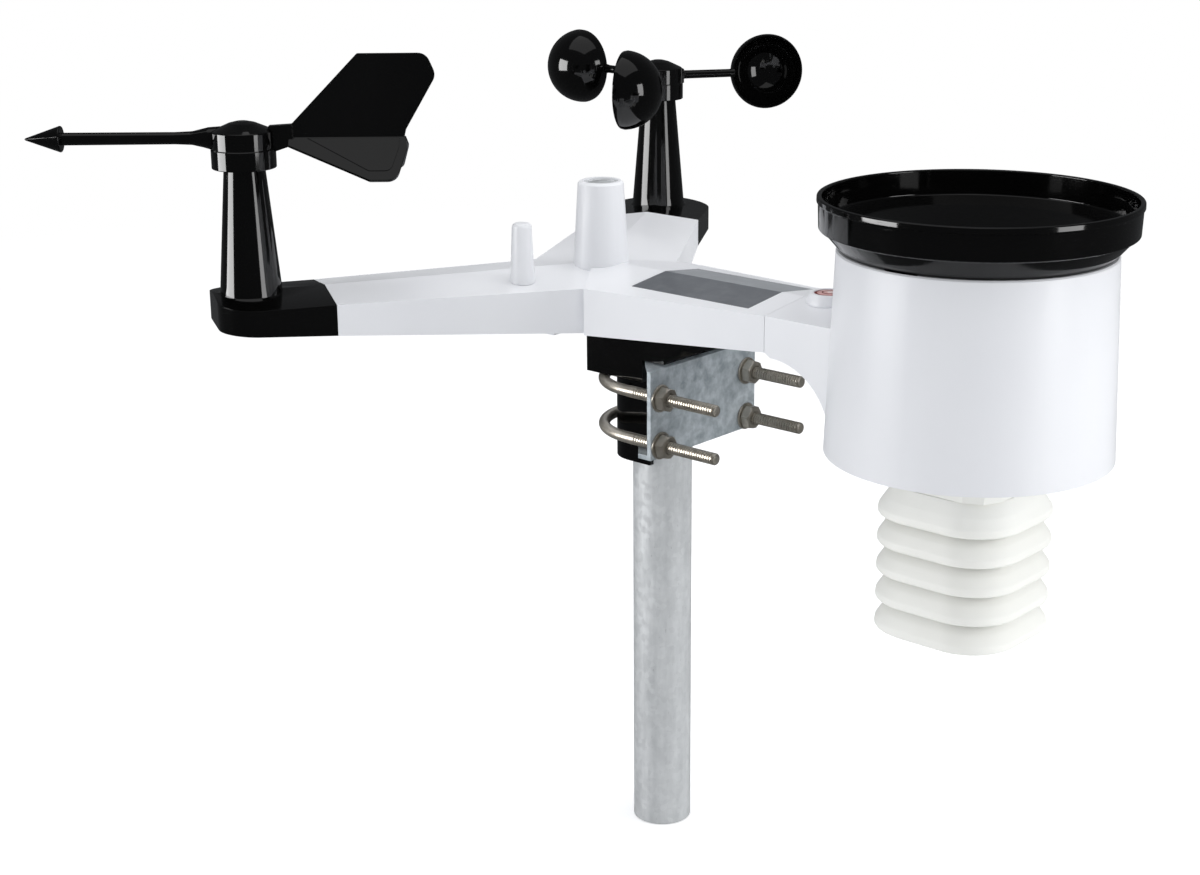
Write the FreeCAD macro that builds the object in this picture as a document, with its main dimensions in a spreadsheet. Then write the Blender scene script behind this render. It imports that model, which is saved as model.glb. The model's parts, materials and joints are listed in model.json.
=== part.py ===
import FreeCAD, Part
import math
import os

import Sketcher

# Home weather station on a mast: three arms carry a wind vane, a cup anemometer and a rain gauge
# with a radiation shield.  Millimetres, +Z up.  The origin is on the mast axis at the mast's lower
# end, and +X points along the rain gauge arm.  Heights called "deck" are measured from the level
# of the arms' upper face, where the two towers stand.

doc = FreeCAD.newDocument("WeatherStation")
sheet = doc.addObject("Spreadsheet::Sheet", "Dims")

DRIVING = {
    # mast and deck
    "mast_radius": 12.7, "mast_wall": 1.5, "deck": 246.4, "mast_top": -24.7,
    # layout of the three arms about the star centre
    "star_back": 37.3, "arm_reach": 148.65, "gauge_x": 151.5, "arm_angle": 120.0,
    # arm sections
    "shell_wall": 2.2, "cover_layer": 2.0, "roof_rise": 0.125,
    "arm_root_half": 32.5, "arm_tip_half": 25.1, "arm_eave": -0.95,
    "arm_root_floor": -20.9, "arm_tip_floor": -13.75, "cap_start": 118.3,
    "hub_ridge": 4.4, "hub_back": 29.0, "hub_back_half": 37.6, "hub_mid_half": 35.2,
    "hub_floor": -21.2, "seam_x": 73.5, "seam_half": 26.0, "seam_floor": -13.5, "hub_apex": 1.0,
    "hub_splay": 54.6,
    # towers
    "cap_end": 164.3, "cap_corner": 15.0, "cap_floor_end": -10.9, "tower_foot_radius": 12.9,
    "tower_top_radius": 8.36, "tower_height": 52.5, "tower_wall": 2.0, "neck_radius": 7.6,
    "neck_top": 61.0, "bearing_radius": 5.0, "bearing_thick": 4.0, "shaft_radius": 1.5,
    "run_gap": 0.04,
    # wind vane
    "vane_angle": -138.0, "hub_radius": 13.0, "skirt_bottom": 52.8, "hub_shoulder": 67.6,
    "hub_top": 71.8, "hub_cavity": 10.8, "cavity_top": 62.5,
    "shaft_level": 64.8, "pointer_half": 2.6, "pointer_reach": 87.6, "head_start": 72.6,
    "tail_neck": 19.2, "tail_end": 65.4, "fin_thick": 2.0, "fin_top": 97.9, "fin_splay": 46.0,
    "fin_depth": 22.0,
    # cup wheel
    "cup_hub_radius": 12.05, "cup_arm": 55.3, "cup_radius": 18.3, "cup_wall": 1.4,
    "cup_level": 63.9, "cup_rod_radius": 2.0, "cup_first": 53.5,
    # rain gauge
    "rim_radius": 59.35, "rim_top": 53.6, "band_bottom": 41.6, "band_radius": 58.5,
    "bucket_top": 33.5, "bucket_top_radius": 51.8, "bucket_bottom": -44.3,
    "bucket_bottom_radius": 54.6, "funnel_wall": 2.0, "funnel_seat_radius": 50.4,
    "lug_bottom": 27.4, "lug_thick": 2.0, "lug_radius": 50.7, "spout_radius": 6.0, "spout_bore": 3.5,
    "fairing_radius": 29.0, "fairing_x": 76.5,
    "rocker_level": -20.0, "rocker_tilt": 12.0, "pin_radius": 1.5,
    # radiation shield
    "louvre_half": 29.5, "louvre_corner": 20.0, "louvre_top_half": 24.6, "louvre_band": 3.0,
    "louvre_pitch": 11.5, "first_rim": -65.0, "louvre_wall": 1.6, "post_offset": 13.5,
    # clamp
    "pod_back": 22.5, "pod_half": 23.0, "pod_bottom": -38.0, "socket_half": 14.2,
    "socket_back": 7.0, "socket_front": 5.0, "socket_bottom": -77.0,
    "leg_spacing": 56.8, "bolt_radius": 2.5, "bolt_tip": 52.7, "bend_x": 4.7,
    "upper_bolt": -40.9, "bolt_drop": 20.2, "plate_x": 20.8, "plate_thick": 2.0,
    "plate_half": 34.5, "plate_top": -28.8, "plate_bottom": -66.5, "jaw_x": 6.0, "upper_jaw_x": 9.5,
    "nut_flat": 9.2, "nut_thick": 4.4, "washer_radius": 5.8, "washer_thick": 0.8,
    # deck fittings
    "window_start": 1.4, "window_end": 62.3, "window_half": 21.7, "window_thick": 1.6,
    "pillar_x": -34.5, "pillar_foot": 11.9, "pillar_head": 9.8, "pillar_top": 38.6,
    "level_x": 85.5, "level_foot": 9.0, "level_head": 7.6, "level_top": 7.8,
    "antenna_x": -41.6, "antenna_y": -41.4, "antenna_foot": 5.2, "antenna_head": 4.1,
    "antenna_top": 25.6,
    # battery bay and controls
    "bay_x": -53.0, "bay_half_x": 16.5, "bay_half_y": 28.5, "bay_wall": 1.8, "door_level": -21.5,
    "door_thick": 2.0, "door_rise": 9.0, "cell_radius": 7.2, "cell_length": 50.0,
    "button_x": 40.0, "button_y": 8.0, "button_radius": 2.4,
}

for row, (alias, number) in enumerate(DRIVING.items(), start=1):
    sheet.set(f"A{row}", alias)
    sheet.set(f"B{row}", str(number))
    sheet.setAlias(f"B{row}", alias)
doc.recompute()


def dim(alias):
    """Value of one driving dimension, read back from the sheet."""
    return float(sheet.get(alias))


def sized(text):
    """Expression text with each driving dimension's name made into a sheet reference."""
    words = []
    word = ""
    for letter in text + " ":
        if letter.isalnum() or letter == "_":
            word += letter
            continue
        words.append(f"Dims.{word}" if word in DRIVING else word)
        words.append(letter)
        word = ""
    return "".join(words).strip()


def bind(thing, prop, text):
    thing.setExpression(prop, sized(text))


def number(body, text):
    """Present value of an expression."""
    return float(body.evalExpression(sized(text)))


# ---------------------------------------------------------------- frames

def place(thing, x="0", y="0", z="0", angle=None, axis=(0, 0, 1)):
    """Put a sub-part in its own frame, with the place bound to the sheet."""
    if angle is not None:
        thing.Placement = FreeCAD.Placement(
            FreeCAD.Vector(), FreeCAD.Rotation(FreeCAD.Vector(*axis), 1))
        bind(thing, ".Placement.Rotation.Angle", angle)
    bind(thing, ".Placement.Base.x", x)
    bind(thing, ".Placement.Base.y", y)
    bind(thing, ".Placement.Base.z", z)
    return thing


def arm_frame(thing, side):
    """Frame at the star centre with X along a tower arm; side is -1 for the vane, 1 for the cups."""
    return place(thing, "-star_back", "0", "deck", f"{side} * arm_angle")


TOWER_X = "-star_back + arm_reach * cos(arm_angle * 1deg)"
TOWER_Y = "arm_reach * sin(arm_angle * 1deg)"


def tower_frame(thing, side, turn="0"):
    """Frame on a tower's axis at deck height."""
    return place(thing, TOWER_X, f"{side} * {TOWER_Y}", "deck", turn)


def gauge_frame(thing):
    """Frame on the rain gauge's axis at deck height."""
    return place(thing, "gauge_x", "0", "deck")


def deck_frame(thing):
    """Frame on the mast axis at deck height."""
    return place(thing, "0", "0", "deck")


# ---------------------------------------------------------------- sketches and features

def new_body(label):
    body = doc.addObject("PartDesign::Body", label)
    body.Label = label
    return body


def origin_plane(body, role):
    for feature in body.Origin.OriginFeatures:
        if feature.Role == role:
            return feature
    raise ValueError(role)


def sketch_on(body, plane, lift=None):
    sketch = body.newObject("Sketcher::SketchObject", "Sketch")
    sketch.AttachmentSupport = [(origin_plane(body, plane + "_Plane"), "")]
    sketch.MapMode = "FlatFace"
    if lift is not None:
        bind(sketch, ".AttachmentOffset.Base.z", lift)
    return sketch


def pin_point(sketch, body, edge, end, corner):
    """Hold one end of an edge at a corner given by two expressions."""
    for kind, text, line in (("DistanceX", corner[0], -2), ("DistanceY", corner[1], -1)):
        if text == "0":
            sketch.addConstraint(Sketcher.Constraint("PointOnObject", edge, end, line))
            continue
        value = number(body, text)
        index = sketch.addConstraint(Sketcher.Constraint(kind, -1, 1, edge, end, value))
        sketch.renameConstraint(index, f"{kind}{index}")
        bind(sketch, f"Constraints.{kind}{index}", text)


def polygon(body, plane, corners, lift=None):
    """Closed sketch of straight sides; each corner is a pair of expressions."""
    sketch = sketch_on(body, plane, lift)
    points = [FreeCAD.Vector(number(body, a), number(body, b), 0) for a, b in corners]
    count = len(points)
    for index in range(count):
        sketch.addGeometry(Part.LineSegment(points[index], points[(index + 1) % count]))
    for index in range(count):
        sketch.addConstraint(
            Sketcher.Constraint("Coincident", index, 2, (index + 1) % count, 1))
    for index, corner in enumerate(corners):
        pin_point(sketch, body, index, 1, corner)
    return sketch


def circles(body, plane, rings, lift=None):
    """Sketch of circles, each given by centre and radius expressions."""
    sketch = sketch_on(body, plane, lift)
    for index, (x, y, radius) in enumerate(rings):
        centre = FreeCAD.Vector(number(body, x), number(body, y), 0)
        sketch.addGeometry(Part.Circle(centre, FreeCAD.Vector(0, 0, 1), number(body, radius)))
        pin_point(sketch, body, index, 3, (x, y))
        held = sketch.addConstraint(
            Sketcher.Constraint("Radius", index, number(body, radius)))
        sketch.renameConstraint(held, f"Radius{held}")
        bind(sketch, f"Constraints.Radius{held}", radius)
    return sketch


def rectangle(body, plane, low, high, lift=None):
    (x0, y0), (x1, y1) = low, high
    return polygon(body, plane, [(x0, y0), (x1, y0), (x1, y1), (x0, y1)], lift)


def pad(body, sketch, length, middle=False, back=False):
    feature = body.newObject("PartDesign::Pad", "Pad")
    feature.Profile = sketch
    bind(feature, "Length", length)
    feature.Midplane = middle
    feature.Reversed = back
    doc.recompute()
    return feature


def pocket(body, sketch, depth, middle=False, back=False):
    """Cut that has to remove material, or it is a mistake in the model."""
    before = body.Shape.Volume
    feature = body.newObject("PartDesign::Pocket", "Pocket")
    feature.Profile = sketch
    bind(feature, "Length", depth)
    feature.Midplane = middle
    feature.Reversed = back
    doc.recompute()
    if not feature.Shape.Volume < before - 1e-6:
        raise RuntimeError(f"{body.Label}: {feature.Name} cuts nothing")
    return feature


def turned(body, corners, cut=False, plane="XZ", axis="V_Axis"):
    """Revolve a profile about the sketch's own vertical or horizontal axis."""
    before = body.Shape.Volume if cut else 0.0
    sketch = polygon(body, plane, corners)
    kind = "PartDesign::Groove" if cut else "PartDesign::Revolution"
    feature = body.newObject(kind, kind.split("::")[1])
    feature.Profile = sketch
    feature.ReferenceAxis = (sketch, [axis])
    feature.Angle = 360
    doc.recompute()
    if cut and not feature.Shape.Volume < before - 1e-6:
        raise RuntimeError(f"{body.Label}: {feature.Name} cuts nothing")
    return feature


def arc_turned(body, corners, sweep, heading, cut=False):
    """Revolve a profile through part of a circle, centred on a heading from +X."""
    before = body.Shape.Volume
    sketch = polygon(body, "XZ", corners)
    sketch.AttachmentOffset = FreeCAD.Placement(
        FreeCAD.Vector(), FreeCAD.Rotation(FreeCAD.Vector(0, 1, 0), heading))
    kind = "PartDesign::Groove" if cut else "PartDesign::Revolution"
    feature = body.newObject(kind, kind.split("::")[1])
    feature.Profile = sketch
    feature.ReferenceAxis = (sketch, ["V_Axis"])
    feature.Angle = sweep
    feature.Midplane = True
    doc.recompute()
    if cut and not feature.Shape.Volume < before - 1e-6:
        raise RuntimeError(f"{body.Label}: {feature.Name} cuts nothing")
    return feature


def lofted(body, first, others, cut=False):
    kind = "PartDesign::SubtractiveLoft" if cut else "PartDesign::AdditiveLoft"
    feature = body.newObject(kind, kind.split("::")[1])
    feature.Profile = first
    feature.Sections = others
    feature.Ruled = True
    doc.recompute()
    return feature


def around(body, feature, count, axis="Z"):
    """Repeat a feature about one of the body's own axes."""
    pattern = body.newObject("PartDesign::PolarPattern", "PolarPattern")
    pattern.Originals = [feature]
    pattern.Axis = (origin_plane(body, axis + "_Axis"), [""])
    pattern.Angle = 360
    pattern.Occurrences = count
    body.Tip = pattern
    doc.recompute()
    return pattern


def edges_where(shape, test):
    return [f"Edge{index}" for index, edge in enumerate(shape.Edges, start=1) if test(edge)]


def rounded(body, base, radius, test):
    """Fillet the edges of a feature that pass the test."""
    names = edges_where(base.Shape, test)
    if not names:
        raise RuntimeError(f"{body.Label}: no edge to round")
    feature = body.newObject("PartDesign::Fillet", "Fillet")
    feature.Base = (base, names)
    bind(feature, "Radius", radius)
    doc.recompute()
    return feature


def upright(edge):
    """Whether an edge is a straight vertical line in its body's own frame."""
    ends = [vertex.Point for vertex in edge.Vertexes]
    return (len(ends) == 2 and edge.Curve.TypeId == "Part::GeomLine"
            and abs(ends[0].x - ends[1].x) < 1e-6 and abs(ends[0].y - ends[1].y) < 1e-6)


# ---------------------------------------------------------------- booleans and groups

def fused(label, members):
    feature = doc.addObject("Part::MultiFuse", label)
    feature.Label = label
    feature.Shapes = members
    feature.Refine = True
    doc.recompute()
    return feature


def cut_away(label, base, tool):
    feature = doc.addObject("Part::Cut", label)
    feature.Label = label
    feature.Base = base
    feature.Tool = tool
    feature.Refine = True
    doc.recompute()
    return feature


def cylinder(label, radius, height, x="0", y="0", z="0", angle=None, axis=(0, 0, 1)):
    feature = doc.addObject("Part::Cylinder", label)
    feature.Label = label
    bind(feature, "Radius", radius)
    bind(feature, "Height", height)
    return place(feature, x, y, z, angle, axis)


def box(label, size, x="0", y="0", z="0"):
    feature = doc.addObject("Part::Box", label)
    feature.Label = label
    for prop, text in zip(("Length", "Width", "Height"), size):
        bind(feature, prop, text)
    return place(feature, x, y, z)


def group(label, source, places):
    """Separate copies of one piece: each place is an offset in the source's own frame."""
    solids = []
    for offset in places:
        copy = source.Shape.copy()
        copy.Placement = source.Placement.multiply(offset)
        solids.append(copy)
    feature = doc.addObject("Part::Feature", label)
    feature.Label = label
    feature.Shape = Part.makeCompound(solids)
    return feature


def shift(x=0.0, y=0.0, z=0.0, turn=0.0):
    return FreeCAD.Placement(FreeCAD.Vector(x, y, z),
                             FreeCAD.Rotation(FreeCAD.Vector(0, 0, 1), turn))


# ---------------------------------------------------------------- arms of the body

def arm_section(body, station, half, eave, ridge, floor):
    """Gabled cross-section of an arm, standing across it at one station."""
    return polygon(body, "YZ", [
        (f"-({half})", floor), (half, floor), (half, eave), ("0", ridge), (f"-({half})", eave),
    ], station)


def tower_arm(label, side, inset, drop):
    """Tapered gabled arm block.  The inner block of the hollow has an inset and a lower floor."""
    body = arm_frame(new_body(label), side)
    root = f"arm_root_half - {inset}"
    tip = f"arm_tip_half - {inset}"
    reach = "cap_start" if drop == "0" else "cap_start + 1"
    near = arm_section(body, "0.0001", root, f"arm_eave - {inset}",
                       f"arm_eave - {inset} + roof_rise * arm_root_half", f"arm_root_floor - {drop}")
    far = arm_section(body, reach, tip, f"arm_eave - {inset}",
                      f"arm_eave - {inset} + roof_rise * arm_tip_half", f"arm_tip_floor - {drop}")
    lofted(body, near, [far])
    return body


def gauge_arm(label, inset, drop):
    """Hub and rain gauge arm as one block, cut back where the tower arms begin."""
    body = place(new_body(label), "-star_back", "0", "deck")
    end = "seam_x + star_back" if drop == "0" else "seam_x + star_back + 1"

    def section(station, half, floor):
        return arm_section(body, station, f"{half} - {inset}",
                           f"hub_ridge - {inset} - roof_rise * {half}",
                           f"hub_ridge - {inset}", f"{floor} - {drop}")

    back = section(f"-hub_back + {inset}", "hub_back_half", "hub_floor")
    middle = section("0.0001", "hub_mid_half", "hub_floor")
    front = section(end, "seam_half", "seam_floor")
    lofted(body, back, [middle, front])
    turn = f"((hub_splay - 1.4 * {inset}) * 1deg)"
    outside = polygon(body, "XY", [
        ("-hub_apex", "0"), (f"-hub_apex + 90 * cos{turn}", f"-90 * sin{turn}"),
        (f"-hub_apex + 90 * cos{turn}", "-80"), ("-90", "-80"), ("-90", "80"),
        (f"-hub_apex + 90 * cos{turn}", "80"), (f"-hub_apex + 90 * cos{turn}", f"90 * sin{turn}"),
    ])
    pocket(body, outside, "120", middle=True)
    return body


def star(label, inset, drop):
    """The three arms joined."""
    members = [tower_arm(f"{label}_vane", -1, inset, drop),
               tower_arm(f"{label}_cups", 1, inset, drop),
               gauge_arm(f"{label}_gauge", inset, drop)]
    return fused(label, members)


def lifted(label, source, rise):
    """The same block again, raised; used to slice a layer off its underside."""
    link = doc.addObject("App::Link", label)
    link.LinkedObject = source
    link.LinkTransform = True
    bind(link, ".Placement.Base.z", rise)
    doc.recompute()
    return link


def common(label, base, tool):
    feature = doc.addObject("Part::Common", label)
    feature.Label = label
    feature.Base = base
    feature.Tool = tool
    feature.Refine = True
    doc.recompute()
    return feature


# ---------------------------------------------------------------- body shells

def window_slab(label, grow, thick):
    """Slab bent along the ridge, its upper face level with the roof."""
    body = deck_frame(new_body(label))
    half = f"window_half + {grow}"
    edge = f"hub_ridge - roof_rise * ({half})"
    section = polygon(body, "YZ", [
        (f"-({half})", f"{edge} - ({thick})"), ("0", f"hub_ridge - ({thick})"),
        (half, f"{edge} - ({thick})"), (half, edge), ("0", "hub_ridge"), (f"-({half})", edge),
    ], f"window_start - {grow}")
    pad(body, section, f"window_end - window_start + 2 * {grow}")
    return body


def bay_walls():
    """Frame of the battery bay under the hub, with the two hinge lugs of its door."""
    body = place(new_body("bay_frame"), "bay_x", "0", "deck")
    wall_x = "bay_half_x + bay_wall"
    wall_y = "bay_half_y + bay_wall"
    pad(body, rectangle(body, "XY", (f"-({wall_x})", f"-({wall_y})"), (wall_x, wall_y),
                        "door_level"), "door_rise")
    lug = polygon(body, "XZ", [
        (f"-({wall_x}) - 3.4", "door_level - 2.6"), (f"-({wall_x})", "door_level - 2.6"),
        (f"-({wall_x})", "door_level + 3.4"), (f"-({wall_x}) - 3.4", "door_level + 0.6"),
    ])
    pad(body, lug, "48", middle=True)
    pocket(body, rectangle(body, "XY", (f"-({wall_x}) - 4", "-19"),
                           (f"-({wall_x}) - 0.0001", "19"), "door_level - 3"), "8", back=True)
    pin = circles(body, "XZ", [(f"-({wall_x}) - 1.7", "door_level - 0.9", "0.8")])
    pocket(body, pin, "60", middle=True)
    return body


def hole_tools(label, spots, low, high):
    """Upright pins that cut holes; each spot is x, y and radius."""
    pins = [cylinder(f"{label}_{index}", radius, f"{high} - ({low})", x, y, f"deck + {low}")
            for index, (x, y, radius) in enumerate(spots)]
    return pins[0] if len(pins) == 1 else fused(label, pins)


SCREW_SPOTS = [(-28.6, 9.0), (-28.6, -9.0), (66.5, 17.0), (66.5, -17.0)]
BOARD_PEGS = [(x, y) for x in (9.0, 51.0) for y in (-13.5, 13.5)]


def floor_level(x):
    """Height of the gauge arm's underside at a station, relative to the deck."""
    run = (x + dim("star_back")) / (dim("seam_x") + dim("star_back"))
    return dim("hub_floor") + run * (dim("seam_floor") - dim("hub_floor"))


def build_body():
    outer = star("star_outer", "0", "0")
    inner = star("star_inner", "shell_wall", "12")
    raised = lifted("star_raised", outer, "cover_layer")
    layer = cut_away("cover_layer_only", outer, raised)
    blank = common("shell_blank", outer, raised)
    upper = cut_away("hollow_shell", blank, inner)

    seat = window_slab("window_seat", "0.1", "window_thick + 0.05")
    throat = box("window_throat", ("window_end - window_start - 6", "36", "12"),
                 "window_start + 3", "-18", "deck - 4")
    posts = fused("screw_posts", [
        cylinder(f"screw_post_{index}", "2.8", "24", str(x), str(y), "deck - 22")
        for index, (x, y) in enumerate(SCREW_SPOTS)])
    posted = fused("posted_shell", [upper, common("trimmed_posts", posts, blank)])
    bored = cut_away("bored_shell", posted, fused("shell_tools", [seat, throat] + [
        cylinder(f"post_bore_{index}", "1.1", "11", str(x), str(y), f"deck + {floor_level(x)}")
        for index, (x, y) in enumerate(SCREW_SPOTS)]))
    bay_room = box("bay_room", ("2 * (bay_half_x + bay_wall) + 0.2",
                                "2 * (bay_half_y + bay_wall) + 0.2", "door_rise + 1"),
                   "bay_x - bay_half_x - bay_wall - 0.1", "-bay_half_y - bay_wall - 0.1",
                   "deck + door_level - 0.9")
    cut_away("body_upper_shell", bored, bay_room)

    bay = bay_walls()
    opening = box("bay_opening", ("2 * bay_half_x", "2 * bay_half_y", "30"),
                  "bay_x - bay_half_x", "-bay_half_y", "deck - 28")
    controls = hole_tools("control_holes", [
        ("button_x", "button_y", "button_radius + 0.1"), ("button_x", "-button_y", "2"),
    ] + [(str(x), str(y), "1.6") for x, y in SCREW_SPOTS], "-30", "-5")
    pegs = fused("board_pegs", [
        cylinder(f"board_peg_{index}", "2.2", "10", str(x), str(y), "deck - 18")
        for index, (x, y) in enumerate(BOARD_PEGS)])
    covered = fused("cover_with_bay", [layer, bay, common("trimmed_pegs", pegs, outer)])
    cut_away("body_lower_cover", cut_away("open_cover", covered, opening), controls)
    window_slab("solar_window", "0", "window_thick")
    return outer


def build_deck_fittings(outer):
    """Fittings on the roof; each foot is trimmed to the roof that it stands on."""
    pillar = place(new_body("pillar_blank"), "pillar_x", "0", "deck")
    turned(pillar, [("0", "-2"), ("pillar_foot", "-2"), ("pillar_foot", "2.6"),
                    ("pillar_head", "pillar_top - 1"), ("pillar_head - 1", "pillar_top"),
                    ("7.4", "pillar_top"), ("7.4", "pillar_top - 2.4"), ("0", "pillar_top - 2.4")])
    turned(pillar, [("0", "-3"), ("pillar_foot - 2", "-3"), ("pillar_head - 2", "pillar_top - 4.5"),
                    ("0", "pillar_top - 4.5")], cut=True)
    cut_away("sensor_pillar", pillar, outer)

    lens = place(new_body("light_sensor_lens"), "pillar_x", "0", "deck")
    turned(lens, [("0", "pillar_top - 2.35"), ("7.3", "pillar_top - 2.35"),
                  ("7.3", "pillar_top - 0.9"), ("4", "pillar_top - 0.5"),
                  ("0", "pillar_top - 0.4")])

    antenna = place(new_body("antenna_blank"), "antenna_x", "antenna_y", "deck")
    turned(antenna, [("0", "-3"), ("antenna_foot", "-3"), ("antenna_foot", "0"),
                     ("antenna_head", "antenna_top - 1"), ("antenna_head - 1", "antenna_top"),
                     ("0", "antenna_top")])
    turned(antenna, [("0", "-4"), ("1.6", "-4"), ("1.6", "antenna_top - 3"),
                     ("0", "antenna_top - 3")], cut=True)
    cut_away("antenna_cover", antenna, outer)
    cylinder("antenna_rod", "1.5", "antenna_top - 6", "antenna_x", "antenna_y", "deck + 2.4")

    holder = place(new_body("level_blank"), "level_x", "0", "deck")
    turned(holder, [("0", "hub_ridge - 1.7"), ("level_foot", "hub_ridge - 1.7"), ("level_foot", "4.6"),
                    ("level_head", "level_top"), ("6", "level_top"), ("6", "level_top - 3"),
                    ("0", "level_top - 3")])
    vial = place(new_body("bubble_vial"), "level_x", "0", "deck")
    turned(vial, [("0", "level_top - 2.95"), ("5.95", "level_top - 2.95"),
                  ("5.95", "level_top - 0.3"), ("3", "level_top"), ("0", "level_top + 0.1")])
    return holder


def build_electronics():
    board = deck_frame(new_body("main_board"))
    pad(board, rectangle(board, "XY", ("4", "-17"), ("56", "17"), "-8"), "1.6")
    pocket(board, circles(board, "XY", [("button_x", "-button_y", "1.2")], "-9"), "4", back=True)

    cells = deck_frame(new_body("solar_cells"))
    edge = "17.6 * roof_rise"
    pad(cells, polygon(cells, "YZ", [
        ("-17.6", f"hub_ridge - window_thick - 1.3 - {edge}"),
        ("0", "hub_ridge - window_thick - 1.3"),
        ("17.6", f"hub_ridge - window_thick - 1.3 - {edge}"),
        ("17.6", f"hub_ridge - window_thick - 0.02 - {edge}"),
        ("0", "hub_ridge - window_thick - 0.02"),
        ("-17.6", f"hub_ridge - window_thick - 0.02 - {edge}"),
    ], "window_start + 3.5"), "window_end - window_start - 7")

    button = place(new_body("reset_button"), "button_x", "button_y", "deck")
    turned(button, [("0", "-18.4"), ("1.6", "-18.4"), ("button_radius", "-17.8"),
                    ("button_radius", "-13.5"), ("3.4", "-13.5"), ("3.4", "-12.1"), ("0", "-12.1")])
    switch = place(new_body("button_switch"), "button_x", "button_y", "deck")
    pad(switch, rectangle(switch, "XY", ("-3", "-3"), ("3", "3"), "-11.2"), "3.2")
    led = place(new_body("status_lens"), "button_x", "-button_y", "deck")
    turned(led, [("0", "-17.4"), ("1.2", "-17.2"), ("1.95", "-16.4"), ("1.95", "-12"),
                 ("1.1", "-12"), ("1.1", "-6.6"), ("0", "-6.6")])


def build_battery_bay():
    """Two cells lie across the hub behind the mast, over a door hinged on its rear edge."""
    door = place(new_body("battery_door"), "bay_x - bay_half_x - bay_wall - 1.7", "0",
                 "deck + door_level - 0.9")
    width = "2 * (bay_half_x + bay_wall)"
    pad(door, rectangle(door, "XY", ("2.9", "-(bay_half_y + bay_wall)"),
                        (f"{width} + 1.7", "bay_half_y + bay_wall"), "-1.15"), "door_thick")
    pad(door, rectangle(door, "XY", ("0.5", "-18"), ("4", "18"), "-1.15"), "1.6")
    barrel = circles(door, "XZ", [("0", "0", "1.6")])
    pad(door, barrel, "36", middle=True)
    pocket(door, circles(door, "XZ", [("0", "0", "0.84")]), "60", middle=True)
    cylinder("door_hinge_pin", "0.8", "47.6", "bay_x - bay_half_x - bay_wall - 1.7",
             "23.8", "deck + door_level - 0.9", "90", (1, 0, 0))

    cell = place(new_body("cell_blank"), "bay_x - cell_radius - 0.4", "0",
                 "deck + door_level + 0.3 + cell_radius")
    turned(cell, [("-cell_length / 2", "0"), ("-cell_length / 2", "cell_radius - 1"),
                  ("-cell_length / 2 + 0.6", "cell_radius"),
                  ("cell_length / 2 - 2", "cell_radius"),
                  ("cell_length / 2 - 1.4", "cell_radius - 1"),
                  ("cell_length / 2 - 1.4", "2.7"), ("cell_length / 2", "2.7"),
                  ("cell_length / 2", "0")], plane="YZ", axis="H_Axis")
    step = 2 * dim("cell_radius") + 0.8
    group("batteries", cell, [shift(), shift(x=step, turn=180)])

    contact = place(new_body("contact_blank"), "bay_x - cell_radius - 0.4",
                    "-bay_half_y + 0.05", "deck + door_level + 0.3 + cell_radius")
    pad(contact, rectangle(contact, "XZ", ("-5", "-5"), ("5", "5")), "0.5", back=True)
    pad(contact, circles(contact, "XZ", [("0", "0", "2.5")]), "3.4", back=True)
    far = 2 * (dim("bay_half_y") - 0.05)
    group("battery_contacts", contact, [
        shift(), shift(x=step), shift(y=far, turn=180), shift(x=step, y=far, turn=180)])


# ---------------------------------------------------------------- towers

def cap_block(label, side, inset, drop, start):
    """Arm end under a tower: gabled, with rounded outer corners and a sloping underside."""
    body = arm_frame(new_body(label), side)
    half = f"arm_tip_half - ({inset})"
    eave = f"arm_eave - ({inset})"
    end = f"cap_end - ({inset})"
    section = arm_section(body, start, half, eave, f"{eave} + roof_rise * arm_tip_half",
                          f"arm_tip_floor - {drop} - 1")
    block = pad(body, section, f"{end} - ({start})")
    far, wide = number(body, end), number(body, half)
    rounded(body, block, f"cap_corner - ({inset})",
            lambda edge: upright(edge) and abs(edge.CenterOfMass.x - far) < 1e-3
            and abs(abs(edge.CenterOfMass.y) - wide) < 1e-3)
    low, high = f"arm_tip_floor - {drop}", f"cap_floor_end - {drop}"
    pocket(body, polygon(body, "XZ", [
        ("cap_start - 9", f"{low} - 4"), ("cap_end + 9", f"{low} - 4"), ("cap_end + 9", high),
        ("cap_end", high), ("cap_start", low), ("cap_start - 9", low),
    ]), "80", middle=True)
    return body


def tower(label, side):
    blank = cap_block(f"{label}_cap", side, "0", "0", "cap_start + 0.05")
    hollow = cap_block(f"{label}_hollow", side, "shell_wall", "8", "cap_start - 1")
    shell = cut_away(f"{label}_shell", blank, hollow)
    cone = tower_frame(new_body(f"{label}_cone"), side)
    turned(cone, [("0", "-2.6"), ("tower_foot_radius + 1", "-2.6"),
                  ("tower_foot_radius + 1", "0.4"), ("tower_foot_radius - 0.2", "1.4"),
                  ("tower_top_radius", "tower_height"),
                  ("neck_radius", "tower_height + 0.6"), ("neck_radius", "neck_top"),
                  ("0", "neck_top")])
    bore = tower_frame(new_body(f"{label}_bore"), side)
    seat = "bearing_radius + 0.02"
    turned(bore, [("0", "-8"), ("tower_foot_radius - tower_wall", "-8"),
                  ("tower_foot_radius - tower_wall", "0"), ("5.6", "tower_height - 12"),
                  ("3.6", "tower_height - 10"), ("3.6", "tower_height - 8"),
                  (seat, "tower_height - 8"), (seat, "neck_top + 1"), ("0", "neck_top + 1")])
    solid = fused(f"{label}_solid", [shell, cone])
    return cut_away(label, solid, bore)


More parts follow.
